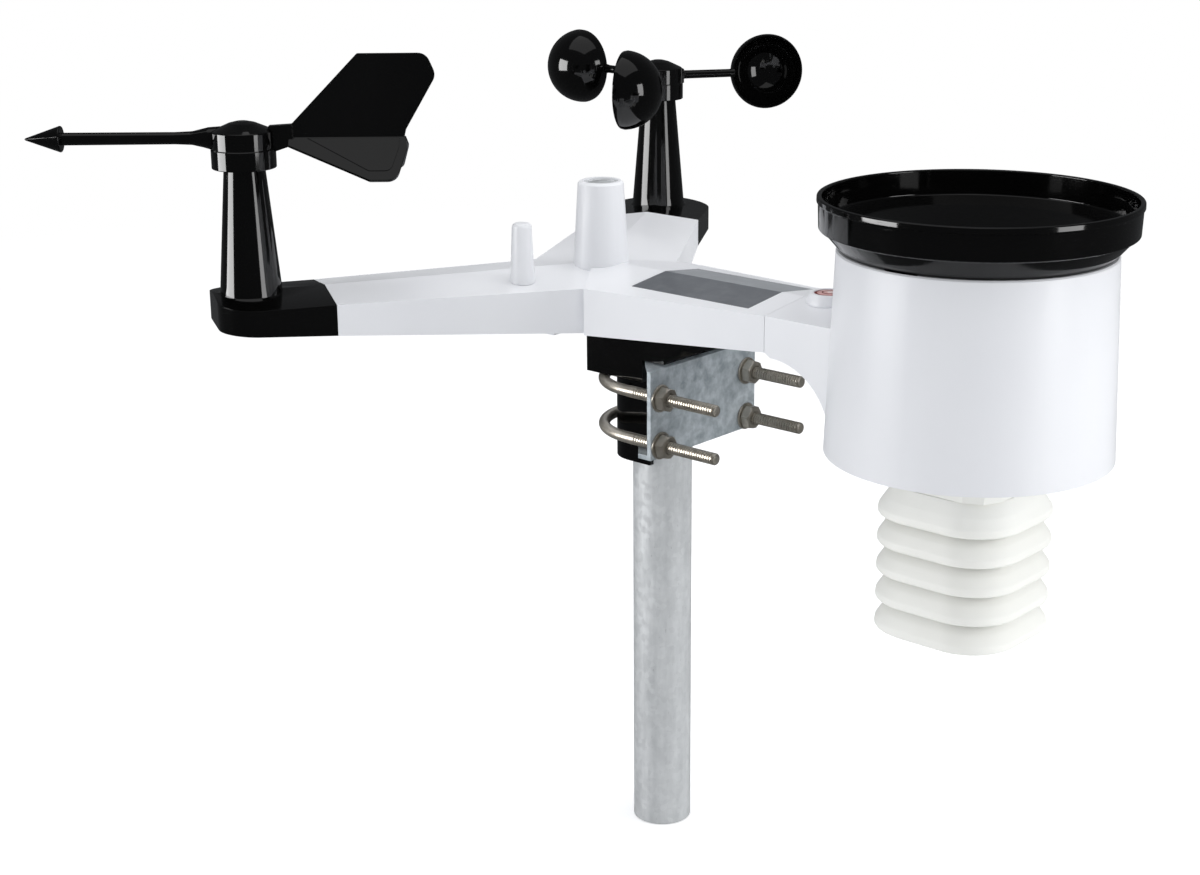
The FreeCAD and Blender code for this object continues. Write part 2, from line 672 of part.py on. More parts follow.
def bearings(label, side):
    ring = tower_frame(new_body(f"{label}_ring"), side)
    base = "tower_height - 8"
    bore = "shaft_radius + run_gap"
    turned(ring, [(bore, base), ("bearing_radius", base),
                  ("bearing_radius", f"{base} + bearing_thick"),
                  ("4.2", f"{base} + bearing_thick"), ("4.0", f"{base} + bearing_thick - 0.4"),
                  ("2.5", f"{base} + bearing_thick - 0.4"), ("2.3", f"{base} + bearing_thick"),
                  (bore, f"{base} + bearing_thick")])
    rise = dim("neck_top") - dim("tower_height") + 8 - dim("bearing_thick")
    return group(label, ring, [shift(), shift(z=rise)])


def shaft(label, side, top):
    body = tower_frame(new_body(label), side)
    turned(body, [("0", "tower_height - 16"), ("shaft_radius - 0.3", "tower_height - 16"),
                  ("shaft_radius", "tower_height - 15.7"), ("shaft_radius", top), ("0", top)])
    return body


def shaft_magnet(label, side):
    """Ring magnet pressed on the lower end of a shaft, over the sensor board."""
    body = tower_frame(new_body(label), side)
    turned(body, [("shaft_radius", "tower_height - 15.6"), ("3.2", "tower_height - 15.6"),
                  ("3.2", "tower_height - 12.6"), ("shaft_radius", "tower_height - 12.6")])
    return body


def sensor_board(label, side):
    """Round board in the tower under the magnet, resting on the tapered wall."""
    body = tower_frame(new_body(label), side)
    pad(body, circles(body, "XY", [("0", "0", "6.4")], "tower_height - 20"), "1.6")
    pad(body, rectangle(body, "XY", ("-2.2", "-2.2"), ("2.2", "2.2"), "tower_height - 18.4"),
        "1.2")
    return body


def build_towers():
    for name, side in (("vane", -1), ("cup", 1)):
        tower(f"{name}_tower", side)
        bearings(f"{name}_bearings", side)
        shaft_magnet(f"{name}_magnet", side)
        sensor_board(f"{name}_sensor_board", side)
    shaft("vane_shaft", -1, "68.4")
    shaft("cup_shaft", 1, "68.4")
    plate = cap_block("floor_plate_block", -1, "shell_wall + 0.05", "0", "cap_start + 0.1")
    raised = lifted("floor_plate_raised", plate, "cover_layer")
    blank = cut_away("floor_plate_blank", plate, raised)
    mirror = blank.Shape.mirror(FreeCAD.Vector(), FreeCAD.Vector(0, 1, 0))
    feature = doc.addObject("Part::Feature", "tower_floor_plates")
    feature.Label = "tower_floor_plates"
    feature.Shape = Part.makeCompound([blank.Shape.copy(), mirror])


# ---------------------------------------------------------------- wind vane and cup wheel

def rotor_hub(body, radius, top_flat):
    """Domed hub with a skirt over the tower's neck and a boss bored for the shaft."""
    turned(body, [("0", "cavity_top"), ("hub_cavity - 1", "cavity_top"),
                  ("hub_cavity - 0.4", "skirt_bottom"), (radius, "skirt_bottom"),
                  (radius, "skirt_bottom + 7.2"), (f"{radius} - 0.4", "skirt_bottom + 7.4"),
                  (f"{radius} - 0.4", "hub_shoulder"), (f"{radius} * 0.7", "hub_shoulder + 1.9"),
                  (f"{radius} * 0.4", "hub_top - 0.8"), (top_flat, "hub_top"), ("0", "hub_top")])
    turned(body, [("0", "cavity_top - 1"), ("shaft_radius", "cavity_top - 1"),
                  ("shaft_radius", "68.4"), ("0", "68.4")], cut=True)


def vane_fin(label, corners, splay):
    """Flat fin hung on the vane's axis, swung out by the splay angle."""
    body = new_body(label)
    turn = FreeCAD.Rotation(FreeCAD.Vector(0, 0, 1), dim("vane_angle"))
    lean = FreeCAD.Rotation(FreeCAD.Vector(1, 0, 0), splay)
    body.Placement = FreeCAD.Placement(FreeCAD.Vector(), turn.multiply(lean))
    place(body, TOWER_X, f"-({TOWER_Y})", "deck + shaft_level")
    plate = pad(body, polygon(body, "XZ", corners), "fin_thick", middle=True)
    return body, plate


def corner_at(edge, x, z):
    spot = edge.CenterOfMass
    return abs(spot.x - x) < 1e-3 and abs(spot.z - z) < 1e-3 and len(edge.Vertexes) == 2


def build_wind_vane():
    hub = tower_frame(new_body("vane_hub"), -1, "vane_angle")
    rotor_hub(hub, "hub_radius", "hub_radius * 0.18")
    pointer = tower_frame(new_body("vane_pointer"), -1, "vane_angle")
    bind(pointer, ".Placement.Base.z", "deck + shaft_level")
    turned(pointer, [("9", "0"), ("9", "3"), ("13", "3"), ("17", "pointer_half + 0.4"),
                     ("22", "pointer_half"), ("head_start", "pointer_half"),
                     ("head_start", "pointer_half + 3"), ("pointer_reach", "0")],
           axis="H_Axis")
    flare = tower_frame(new_body("vane_flare"), -1, "vane_angle")
    bind(flare, ".Placement.Base.z", "deck + shaft_level")
    pad(flare, polygon(flare, "XZ", [
        ("-tail_neck", "-4.3"), ("-11", "-6"), ("-11", "4.6"), ("-tail_neck", "5"),
    ]), "3.4", middle=True)
    pad(flare, polygon(flare, "XZ", [
        ("11", "-6"), ("15", "-4.2"), ("22", "-2.2"), ("22", "2.2"), ("15", "3.6"), ("11", "4.6"),
    ]), "3.4", middle=True)
    upper, plate = vane_fin("vane_upper_fin", [
        ("-tail_neck + 1", "-4.2"), ("-tail_neck + 1", "5"), ("-tail_neck", "5"),
        ("-47.2", "fin_top - shaft_level"), ("-74", "fin_top - shaft_level"),
        ("-78.3", "24"), ("-tail_end", "2.6"), ("-tail_end", "-0.6"),
    ], 0)
    top = dim("fin_top") - dim("shaft_level")
    rounded(upper, plate, "5", lambda edge: corner_at(edge, -74, top) or corner_at(edge, -78.3, 24))
    lower = []
    for name, splay in (("left", dim("fin_splay")), ("right", -dim("fin_splay"))):
        body, plate = vane_fin(f"vane_{name}_fin", [
            ("-tail_neck + 1", "-0.6"), ("-tail_neck + 1", "-4.6"), ("-52", "-fin_depth"),
            ("-61", "-fin_depth"), ("-tail_end - 0.6", "-fin_depth + 6"), ("-tail_end", "0"),
        ], splay)
        lower.append(body)
    parts = [hub, pointer, flare, upper] + lower
    blank = fused("vane_blank", parts)
    return cut_away("wind_vane", blank, grub_bore("vane_grub_bore", -1, "vane_angle + 90", "14"))


def grub_bore(label, side, turn, reach):
    """Radial hole through the hub for the set screw that holds it to the shaft."""
    body = tower_frame(new_body(label), side, turn)
    pad(body, circles(body, "YZ", [("0", "65.4", "1.5")], "shaft_radius"), reach)
    return body


def grub_screw(label, side, turn):
    body = tower_frame(new_body(label), side, turn)
    pad(body, circles(body, "YZ", [("0", "65.4", "1.5")], "shaft_radius"), "6")
    pocket(body, circles(body, "YZ", [("0", "65.4", "0.8")], "shaft_radius + 4"), "3", back=True)
    return body


def cup_profile(body):
    """Half section of a cup in the plane of the wheel, with its own axis beside it."""
    sketch = sketch_on(body, "XY", "cup_level")
    centre = FreeCAD.Vector(dim("cup_arm"), 0, 0)
    outer = dim("cup_radius")
    inner = outer - dim("cup_wall")
    up = FreeCAD.Vector(0, 0, 1)
    quarter = math.pi / 2
    sketch.addGeometry(Part.ArcOfCircle(Part.Circle(centre, up, outer), 0, quarter))
    sketch.addGeometry(Part.LineSegment(centre + FreeCAD.Vector(0, outer, 0),
                                        centre + FreeCAD.Vector(0, inner, 0)))
    sketch.addGeometry(Part.ArcOfCircle(Part.Circle(centre, up, inner), 0, quarter))
    sketch.addGeometry(Part.LineSegment(centre + FreeCAD.Vector(inner, 0, 0),
                                        centre + FreeCAD.Vector(outer, 0, 0)))
    sketch.addGeometry(Part.LineSegment(centre, centre + FreeCAD.Vector(0, outer, 0)), True)
    for first, second in (((0, 2), (1, 1)), ((1, 2), (2, 2)), ((2, 1), (3, 1)), ((3, 2), (0, 1))):
        sketch.addConstraint(Sketcher.Constraint("Coincident", *first, *second))
    pin_point(sketch, body, 0, 3, ("cup_arm", "0"))
    pin_point(sketch, body, 2, 3, ("cup_arm", "0"))
    for edge, radius in ((0, "cup_radius"), (2, "cup_radius - cup_wall")):
        index = sketch.addConstraint(Sketcher.Constraint("Radius", edge, number(body, radius)))
        sketch.renameConstraint(index, f"Radius{index}")
        bind(sketch, f"Constraints.Radius{index}", radius)
    sketch.addConstraint(Sketcher.Constraint("PointOnObject", 0, 1, -1))
    sketch.addConstraint(Sketcher.Constraint("PointOnObject", 2, 1, -1))
    sketch.addConstraint(Sketcher.Constraint("Vertical", 1))
    sketch.addConstraint(Sketcher.Constraint("Vertical", 4))
    sketch.addConstraint(Sketcher.Constraint("Coincident", 4, 1, 0, 3))
    sketch.addConstraint(Sketcher.Constraint("Coincident", 4, 2, 0, 2))
    return sketch


def build_cup_wheel():
    wheel = tower_frame(new_body("wheel_blank"), 1, "cup_first")
    rotor_hub(wheel, "cup_hub_radius", "cup_hub_radius * 0.18")
    rod = pad(wheel, circles(wheel, "YZ", [("0", "cup_level", "cup_rod_radius")],
                             "hub_cavity - 2"), "cup_arm - cup_radius - hub_cavity + 2.8")
    cup = wheel.newObject("PartDesign::Revolution", "Revolution")
    sketch = cup_profile(wheel)
    cup.Profile = sketch
    cup.ReferenceAxis = (sketch, ["Axis0"])
    cup.Angle = 360
    doc.recompute()
    pattern = wheel.newObject("PartDesign::PolarPattern", "PolarPattern")
    pattern.Originals = [rod, cup]
    pattern.Axis = (origin_plane(wheel, "Z_Axis"), [""])
    pattern.Angle = 360
    pattern.Occurrences = 3
    wheel.Tip = pattern
    doc.recompute()
    return cut_away("cup_wheel", wheel, grub_bore("cup_grub_bore", 1, "cup_first + 60", "12"))


# ---------------------------------------------------------------- rain gauge

FUNNEL_TWIST = 30.0
LUG_SWEEP = 12.0


def build_gauge_base():
    body = gauge_frame(new_body("gauge_base"))
    seam = "seam_x + 0.1 - gauge_x"
    half = "seam_half - 0.1"
    side = polygon(body, "XZ", [
        (seam, "hub_ridge"), ("-38", "hub_ridge"), ("-38", "bucket_bottom"),
        ("fairing_x - gauge_x", "bucket_bottom"),
        ("fairing_x - gauge_x", "bucket_bottom + fairing_radius"), (seam, "seam_floor"),
    ])
    pad(body, side, f"2 * ({half})", middle=True)
    pocket(body, circles(body, "XZ", [("fairing_x - gauge_x", "bucket_bottom", "fairing_radius")]),
           "80", middle=True)
    pocket(body, polygon(body, "YZ", [
        ("-40", "hub_ridge - 40 * roof_rise"), ("0", "hub_ridge"),
        ("40", "hub_ridge - 40 * roof_rise"), ("40", "20"), ("-40", "20"),
    ]), "200", middle=True)
    turned(body, [("0", "bucket_bottom"), ("bucket_bottom_radius", "bucket_bottom"),
                  ("bucket_top_radius", "bucket_top - 0.6"),
                  ("bucket_top_radius - 0.6", "bucket_top"), ("0", "bucket_top")])
    turned(body, [("0", "bucket_bottom - 1"), ("bucket_bottom_radius - 2.2", "bucket_bottom - 1"),
                  ("bucket_top_radius - 2.2", "bucket_top + 1"), ("0", "bucket_top + 1")],
           cut=True)
    inner = f"{half} - shell_wall"
    roof = "hub_ridge - shell_wall"
    pocket(body, polygon(body, "YZ", [
        (f"-({inner})", "seam_floor + shell_wall"), (inner, "seam_floor + shell_wall"),
        (inner, f"{roof} - roof_rise * ({inner})"), ("0", roof),
        (f"-({inner})", f"{roof} - roof_rise * ({inner})"),
    ], "seam_x - gauge_x - 1"), "38", back=True)
    pocket(body, polygon(body, "XZ", [
        ("-62", "seam_floor + shell_wall + 1"), ("-55.5", "-20"), ("-47.2", "-30"),
        ("-43.8", "-40"), ("-40", "-40"), ("-40", "seam_floor + shell_wall + 1"),
    ]), f"2 * ({inner})", middle=True)
    bayonet_slots(body)
    return body


def bayonet_slots(body):
    """Three L-shaped slots in the mouth: a way down for each lug, then a level run to lock."""
    level = arc_turned(body, [
        ("45", "lug_bottom - 0.3"), ("lug_radius + 0.2", "lug_bottom - 0.3"),
        ("lug_radius + 0.2", "lug_bottom + lug_thick + 0.3"), ("45", "lug_bottom + lug_thick + 0.3"),
    ], FUNNEL_TWIST + LUG_SWEEP + 4, FUNNEL_TWIST / 2, cut=True)
    around(body, level, 3)
    entry = arc_turned(body, [
        ("45", "lug_bottom"), ("lug_radius + 0.2", "lug_bottom"),
        ("lug_radius + 0.2", "bucket_top + 1"), ("45", "bucket_top + 1"),
    ], LUG_SWEEP + 4, FUNNEL_TWIST, cut=True)
    around(body, entry, 3)


def build_funnel():
    body = gauge_frame(new_body("rain_funnel"))
    wall = "funnel_wall"
    turned(body, [
        ("spout_bore", "10"), ("spout_radius", "10"), ("spout_radius", "19"),
        ("funnel_seat_radius - 3.4", "30.5"), ("funnel_seat_radius - 3.4", "27"),
        ("funnel_seat_radius - 1.3", "27"), ("funnel_seat_radius - 1.3", "bucket_top + 0.05"),
        ("funnel_seat_radius", "bucket_top + 0.05"), ("band_radius - 1.4", "band_bottom - 0.6"),
        ("band_radius", "band_bottom"), ("rim_radius - 0.5", "rim_top - 2.4"),
        ("rim_radius", "rim_top - 1.6"), ("rim_radius", "rim_top - 0.4"),
        ("rim_radius - 0.4", "rim_top"), ("rim_radius - 1.8", "rim_top"),
        (f"rim_radius - {wall} - 0.2", "rim_top - 0.5"),
        (f"band_radius - {wall} - 0.4", "rim_top - 10"), ("spout_bore + 7", "22"),
        ("spout_bore", "20.5"),
    ])
    root, top = "funnel_seat_radius - 2.4", "lug_bottom + lug_thick"
    lug = arc_turned(body, [
        (root, "lug_bottom"), ("lug_radius", "lug_bottom"), ("lug_radius", top), (root, top),
    ], LUG_SWEEP, 0)
    around(body, lug, 3)
    screen = gauge_frame(new_body("debris_screen"))
    pad(screen, circles(screen, "XY", [("0", "0", "11.5")], "22.5"), "1.2")
    hole = pocket(screen, circles(screen, "XY", [("8.4", "0", "1.1")], "22"), "4", back=True)
    around(screen, hole, 12)
    inner = pocket(screen, circles(screen, "XY", [("4.4", "0", "1.1")], "22"), "4", back=True)
    around(screen, inner, 6)


def rocker_frame(thing):
    return place(thing, "gauge_x", "0", "deck + rocker_level", "-rocker_tilt", (0, 1, 0))


def build_rocker():
    """Two-chamber rocker that tips about a cross pin; it rests tipped to one side."""
    body = rocker_frame(new_body("tipping_bucket"))
    pad(body, polygon(body, "XZ", [
        ("-29", "8"), ("-27", "1.5"), ("-3.4", "-4"), ("3.4", "-4"), ("27", "1.5"), ("29", "8"),
        ("0.8", "18"), ("-0.8", "18"),
    ]), "24", middle=True)
    for sign in ("", "-"):
        pocket(body, polygon(body, "XZ", [
            (f"{sign}0.8", "3.2"), (f"{sign}25.6", "3.2"), (f"{sign}28", "9"),
            (f"{sign}28", "20"), (f"{sign}0.8", "20"),
        ]), "21.6", middle=True)
    pocket(body, circles(body, "XZ", [("0", "0", "pin_radius + run_gap")]), "40", middle=True)
    magnet = rocker_frame(new_body("rocker_magnet"))
    pad(magnet, rectangle(magnet, "XZ", ("-2", "9"), ("2", "13"), "-13.6"), "1.6")
    cylinder("rocker_pin", "pin_radius", "34", "gauge_x", "17", "deck + rocker_level",
             "90", (1, 0, 0))


def build_gauge_floor():
    body = gauge_frame(new_body("gauge_floor"))
    base = "bucket_bottom + 2"
    pad(body, circles(body, "XY", [("0", "0", "bucket_bottom_radius - 2.4")], base), "2.4")
    for sign in ("", "-"):
        pad(body, polygon(body, "XZ", [
            ("-6", base), ("6", base), ("3", "rocker_level + 3.5"), ("-3", "rocker_level + 3.5"),
        ], f"{sign}15.6"), "2.8", middle=True)
    pocket(body, circles(body, "XZ", [("0", "rocker_level", "pin_radius")]), "60", middle=True)
    drain = pocket(body, circles(body, "XY", [("30", "0", "2.2")], "bucket_bottom"), "8",
                   back=True)
    around(body, drain, 8)
    ring = pocket(body, circles(body, "XY", [("38", "0", "2.2")], "bucket_bottom"), "8",
                  back=True)
    around(body, ring, 12)
    posts = [(f"{a}post_offset", f"{b}post_offset", "1.5") for a in ("", "-") for b in ("", "-")]
    pocket(body, circles(body, "XY", posts, "bucket_bottom"), "8", back=True)
    slot = rectangle(body, "XY", ("-6.2", "-1"), ("6.2", "1"), "bucket_bottom")
    pocket(body, slot, "8", back=True)

    reed = gauge_frame(new_body("reed_switch_board"))
    pad(reed, rectangle(reed, "XZ", ("-9", "bucket_bottom + 4.4"), ("9", "-4"), "-19.4"), "1.6")
    pad(reed, rectangle(reed, "XZ", ("-6.5", "-9"), ("6.5", "-6.8"), "-17.8"), "2")


# ---------------------------------------------------------------- radiation shield

def rounded_square(body, half, corner, height):
    """Square outline with rounded corners as an eight-sided ring of short chamfers."""
    near = f"({half}) - ({corner}) * 0.62"
    mid = f"({half}) - ({corner}) * 0.19"
    corners = []
    for turn in range(4):
        for a, b in ((half, near), (mid, mid), (near, half)):
            x, y = (a, b)
            signs = ((x, y), (f"-({y})", x), (f"-({x})", f"-({y})"), (y, f"-({x})"))[turn]
            corners.append(signs)
    return polygon(body, "XY", corners, height)


def post_circles(body, radius, height):
    spots = [(f"{a}post_offset", f"{b}post_offset", radius) for a in ("", "-") for b in ("", "-")]
    return circles(body, "XY", spots, height)


def build_shield():
    louvre = place(new_body("louvre_blank"), "gauge_x", "0", "deck + first_rim")
    half = "louvre_half"
    corner = "louvre_corner"
    lofted(louvre, rounded_square(louvre, half, corner, "-louvre_band"),
           [rounded_square(louvre, half, corner, "0.0001")])
    lofted(louvre, rounded_square(louvre, half, corner, "0.0001"),
           [rounded_square(louvre, "louvre_top_half", "louvre_corner - 2", "louvre_pitch - 2.5")])
    wall = "louvre_wall"
    lofted(louvre, rounded_square(louvre, f"{half} - {wall}", f"{corner} - 1", "-louvre_band - 1"),
           [rounded_square(louvre, f"{half} - {wall}", f"{corner} - 1", "-0.5"),
            rounded_square(louvre, f"louvre_top_half - {wall} + 1", f"{corner} - 3",
                           "louvre_pitch - 4.1")], cut=True)
    pad(louvre, post_circles(louvre, "3", "-2.5"), "louvre_pitch - 1")
    pocket(louvre, circles(louvre, "XY", [("0", "0", "12")], "0"), "20", back=True)
    pocket(louvre, post_circles(louvre, "1.6", "-4"), "30", back=True)
    group("shield_louvres", louvre, [shift(z=-index * dim("louvre_pitch")) for index in range(5)])

    neck = place(new_body("shield_neck"), "gauge_x", "0", "deck")
    top = "first_rim + louvre_pitch - 2.5"
    lofted(neck, rounded_square(neck, "louvre_top_half - 1", "louvre_corner - 3", top),
           [rounded_square(neck, "louvre_top_half - 1", "louvre_corner - 3",
                           "bucket_bottom + 2")])
    pocket(neck, post_circles(neck, "1.6", "bucket_bottom + 4"), "40")
    pocket(neck, rectangle(neck, "XY", ("-6.1", "-0.9"), ("6.1", "0.9"), "bucket_bottom + 4"),
           "40")

    base = place(new_body("shield_bottom"), "gauge_x", "0",
                 "deck + first_rim - 4 * louvre_pitch - 2.5")
    lofted(base, rounded_square(base, "louvre_half - louvre_wall - 0.4", "louvre_corner - 1",
                                "-1.4"),
           [rounded_square(base, "louvre_half - louvre_wall - 0.4", "louvre_corner - 1",
                           "0.0001")])
    pocket(base, post_circles(base, "1.6", "1"), "10")

    probe = place(new_body("humidity_probe_board"), "gauge_x", "0", "deck")
    pad(probe, rectangle(probe, "XZ", ("-6", "-100"), ("6", "bucket_bottom + 4"), "-0.8"), "1.6")
    pad(probe, rectangle(probe, "XZ", ("-3", "-98"), ("3", "-90"), "0.8"), "1.4")

    screw = place(new_body("shield_screw"), "gauge_x + post_offset", "post_offset",
                  "deck + first_rim - 4 * louvre_pitch - 3.9")
    turned(screw, [("0", "-1.4"), ("2.2", "-1.4"), ("2.8", "-0.8"), ("2.8", "0"), ("1.5", "0"),
                   ("1.5", "73.5"), ("0", "73.5")])
    offset = 2 * dim("post_offset")
    group("shield_screws", screw, [shift(x=-offset * a, y=-offset * b)
                                   for a in (0, 1) for b in (0, 1)])


# ---------------------------------------------------------------- clamp and mast

def build_mast_and_socket(outer):
    mast = new_body("mast_tube")
    pad(mast, circles(mast, "XY", [("0", "0", "mast_radius")]), "deck + mast_top")
    pocket(mast, circles(mast, "XY", [("0", "0", "mast_radius - mast_wall")]), "400", back=True)

    pod = deck_frame(new_body("socket_blank"))
    pad(pod, rectangle(pod, "XY", ("-pod_back", "-pod_half"), ("8.5", "pod_half"), "pod_bottom"),
        "24")
    pad(pod, rectangle(pod, "XY", ("-pod_back", "-pod_half"), ("20", "pod_half"),
                       "plate_top + 0.4"), "10")
    pad(pod, circles(pod, "XY", [("-socket_back", "0", "socket_half")], "socket_bottom"),
        "pod_bottom - socket_bottom + 1")
    pad(pod, rectangle(pod, "XY", ("-socket_back", "-socket_half"), ("socket_front", "socket_half"),
                       "socket_bottom"), "pod_bottom - socket_bottom + 1")
    pocket(pod, circles(pod, "XY", [("0", "0", "mast_radius + 0.05")], "socket_bottom - 1"),
           "mast_top - socket_bottom + 1.05", back=True)
    for sign in ("", "-"):
        pocket(pod, rectangle(pod, "XZ", ("-6.5", "-46"), ("4", "-42.4"),
                              f"{sign}(socket_half - 0.3)"), "1.2", middle=True)
    return cut_away("mast_socket", pod, outer)


def jaw_outline(body, height, tip, end):
    """Flange outline with a toothed V that bites the mast; tip is where its two jaws end."""
    apex = number(body, "mast_radius * sqrt(2)") + 0.25
    jaw = number(body, tip)
    teeth = 5
    depth = 0.7
    corners = [("plate_x + plate_thick", "-plate_half"), (end, "-plate_half"),
               (tip, "-plate_half + 12")]
    run = (apex - jaw) / teeth
    for sign, order in ((-1, range(teeth)), (1, range(teeth - 1, -1, -1))):
        for index in order:
            low = jaw + run * index
            mid = low + run / 2
            first = (low, sign * (apex - low))
            notch = (mid + depth, sign * (apex - mid + depth))
            pair = (first, notch) if sign < 0 else (notch, first)
            corners += [(f"{x:.4f}", f"{y:.4f}") for x, y in pair]
        if sign < 0:
            corners.append((f"{apex:.4f}", "0"))
    corners += [(tip, "plate_half - 12"), (end, "plate_half"),
                ("plate_x + plate_thick", "plate_half")]
    return polygon(body, "XY", corners, height)


def build_clamp():
    plate = deck_frame(new_body("clamp_plate"))
    pad(plate, rectangle(plate, "XY", ("plate_x", "-plate_half"),
                         ("plate_x + plate_thick", "plate_half"), "plate_bottom"),
        "plate_top - plate_bottom")
    pad(plate, jaw_outline(plate, "plate_bottom", "jaw_x", "jaw_x + 10"), "plate_thick")
    pad(plate, jaw_outline(plate, "plate_top", "upper_jaw_x", "plate_x + 0.5"), "plate_thick", back=True)
    holes = [(f"{sign}leg_spacing / 2", level, "bolt_radius + 0.3")
             for sign in ("", "-") for level in ("upper_bolt", "upper_bolt - bolt_drop")]
    pocket(plate, circles(plate, "YZ", holes, "plate_x - 1"), "6", back=True)

    bolt = place(new_body("bolt_blank"), "0", "0", "deck + upper_bolt")
    for leg in ("leg_spacing / 2", "-leg_spacing / 2"):
        pad(bolt, circles(bolt, "YZ", [(leg, "0", "bolt_radius")], "bend_x"), "bolt_tip - bend_x")
    bend = bolt.newObject("PartDesign::Revolution", "Revolution")
    sketch = circles(bolt, "YZ", [("leg_spacing / 2", "0", "bolt_radius")], "bend_x")
    bend.Profile = sketch
    bend.ReferenceAxis = (sketch, ["V_Axis"])
    bend.Angle = 180
    bend.Reversed = False
    doc.recompute()
    if bend.Shape.BoundBox.XMin > 0:
        bend.Reversed = True
    drop = -dim("bolt_drop")
    group("clamp_u_bolts", bolt, [shift(), shift(z=drop)])

    washer = place(new_body("washer_blank"), "0", "-leg_spacing / 2", "deck + upper_bolt")
    face = "plate_x + plate_thick"
    pad(washer, circles(washer, "YZ", [("0", "0", "washer_radius")], face), "washer_thick")
    pocket(washer, circles(washer, "YZ", [("0", "0", "bolt_radius + 0.2")], face), "4",
           back=True)
    nut = place(new_body("nut_blank"), "0", "-leg_spacing / 2", "deck + upper_bolt")
    corner = "nut_flat / 2 / cos(30deg)"
    pad(nut, polygon(nut, "YZ", [
        (f"{corner} * {math.cos(math.radians(60 * k)):.6f}",
         f"{corner} * {math.sin(math.radians(60 * k)):.6f}" if k % 3 else "0") for k in range(6)
    ], f"{face} + washer_thick"), "nut_thick")
    pocket(nut, circles(nut, "YZ", [("0", "0", "bolt_radius")], face), "10", back=True)
    spots = [shift(y=dim("leg_spacing") * a, z=drop * b) for a in (0, 1) for b in (0, 1)]
    group("clamp_washers", washer, spots)
    group("clamp_nuts", nut, spots)


def build_screws():
    """Four countersunk screws up through the lower cover into the upper shell's posts."""
    x, y = SCREW_SPOTS[0]
    level = floor_level(x)
    screw = place(new_body("screw_blank"), str(x), str(y), f"deck + {level}")
    turned(screw, [("0", "-1.8"), ("2.2", "-1.8"), ("2.9", "-1.0"), ("2.9", "-0.35"),
                   ("1.1", "-0.35"), ("1.1", "9"), ("0", "10")])
    group("cover_screws", screw, [
        shift(x=a - x, y=b - y, z=floor_level(a) - level) for a, b in SCREW_SPOTS])


NODES = [
    "mast_tube", "mast_socket", "clamp_plate", "clamp_u_bolts", "clamp_washers", "clamp_nuts",
    "body_upper_shell", "body_lower_cover", "cover_screws", "solar_window", "solar_cells",
    "main_board", "reset_button", "button_switch", "status_lens", "battery_door",
    "door_hinge_pin", "batteries", "battery_contacts", "sensor_pillar", "light_sensor_lens",
    "antenna_cover", "antenna_rod", "bubble_level", "bubble_vial", "vane_tower", "vane_bearings",
    "vane_shaft", "vane_magnet", "vane_sensor_board", "wind_vane", "vane_set_screw", "cup_tower",
    "cup_bearings", "cup_shaft", "cup_magnet", "cup_sensor_board", "cup_wheel", "cup_set_screw",
    "tower_floor_plates", "gauge_base", "gauge_floor", "rain_funnel", "debris_screen",
    "tipping_bucket", "rocker_magnet", "rocker_pin", "reed_switch_board", "shield_neck",
    "shield_louvres", "shield_bottom", "shield_screws", "humidity_probe_board",
]


def check_model():
    """Stop on any failed object, then return the shape of every sub-part."""
    doc.recompute()
    for thing in doc.Objects:
        if "Invalid" in thing.State or "Error" in thing.State:
            raise RuntimeError(f"{thing.Label}: {thing.State}")
    shapes = {}
    for label in NODES:
        found = doc.getObjectsByLabel(label)
        if len(found) != 1:
            raise RuntimeError(f"{label}: {len(found)} objects")
        shape = found[0].Shape
        if shape.isNull() or not shape.isValid() or not shape.Solids:
            raise RuntimeError(f"{label}: bad shape")
        shapes[label] = shape
    return shapes


def main():
    outer = build_body()
    holder = build_deck_fittings(outer)
    build_electronics()
    build_battery_bay()
    build_towers()
    build_wind_vane()
    build_cup_wheel()
    grub_screw("vane_set_screw", -1, "vane_angle + 90")
    grub_screw("cup_set_screw", 1, "cup_first + 60")
    gauge_base = build_gauge_base()
    cut_away("bubble_level", holder, gauge_base)
    build_funnel()
    build_rocker()
    build_gauge_floor()
    build_shield()
    build_mast_and_socket(outer)
    build_clamp()
    build_screws()
    shapes = check_model()
    os.makedirs("parts", exist_ok=True)
    for label, shape in shapes.items():
        shape.exportStep(f"parts/{label}.step")


main()
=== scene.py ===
import json
import math

import bmesh
import bpy
from mathutils import Matrix, Vector


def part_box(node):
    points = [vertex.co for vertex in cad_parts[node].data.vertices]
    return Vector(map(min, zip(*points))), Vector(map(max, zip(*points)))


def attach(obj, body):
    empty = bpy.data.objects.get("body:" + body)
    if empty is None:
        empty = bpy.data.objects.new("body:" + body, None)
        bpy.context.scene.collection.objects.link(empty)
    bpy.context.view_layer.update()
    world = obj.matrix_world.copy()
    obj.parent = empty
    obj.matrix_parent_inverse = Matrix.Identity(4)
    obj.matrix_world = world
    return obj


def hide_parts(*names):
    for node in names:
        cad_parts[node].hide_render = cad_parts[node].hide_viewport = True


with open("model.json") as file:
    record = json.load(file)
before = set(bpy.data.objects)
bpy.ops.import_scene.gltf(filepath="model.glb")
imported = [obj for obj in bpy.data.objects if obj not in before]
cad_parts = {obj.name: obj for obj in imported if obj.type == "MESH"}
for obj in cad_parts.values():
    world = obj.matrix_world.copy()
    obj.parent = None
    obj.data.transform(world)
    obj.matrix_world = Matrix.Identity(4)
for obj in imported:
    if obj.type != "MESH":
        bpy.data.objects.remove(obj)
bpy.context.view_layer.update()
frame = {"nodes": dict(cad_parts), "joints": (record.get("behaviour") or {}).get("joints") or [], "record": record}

MM = 0.001
UP = Vector((0, 0, 1))
JOINTS = {joint["name"]: joint for joint in frame["joints"]}
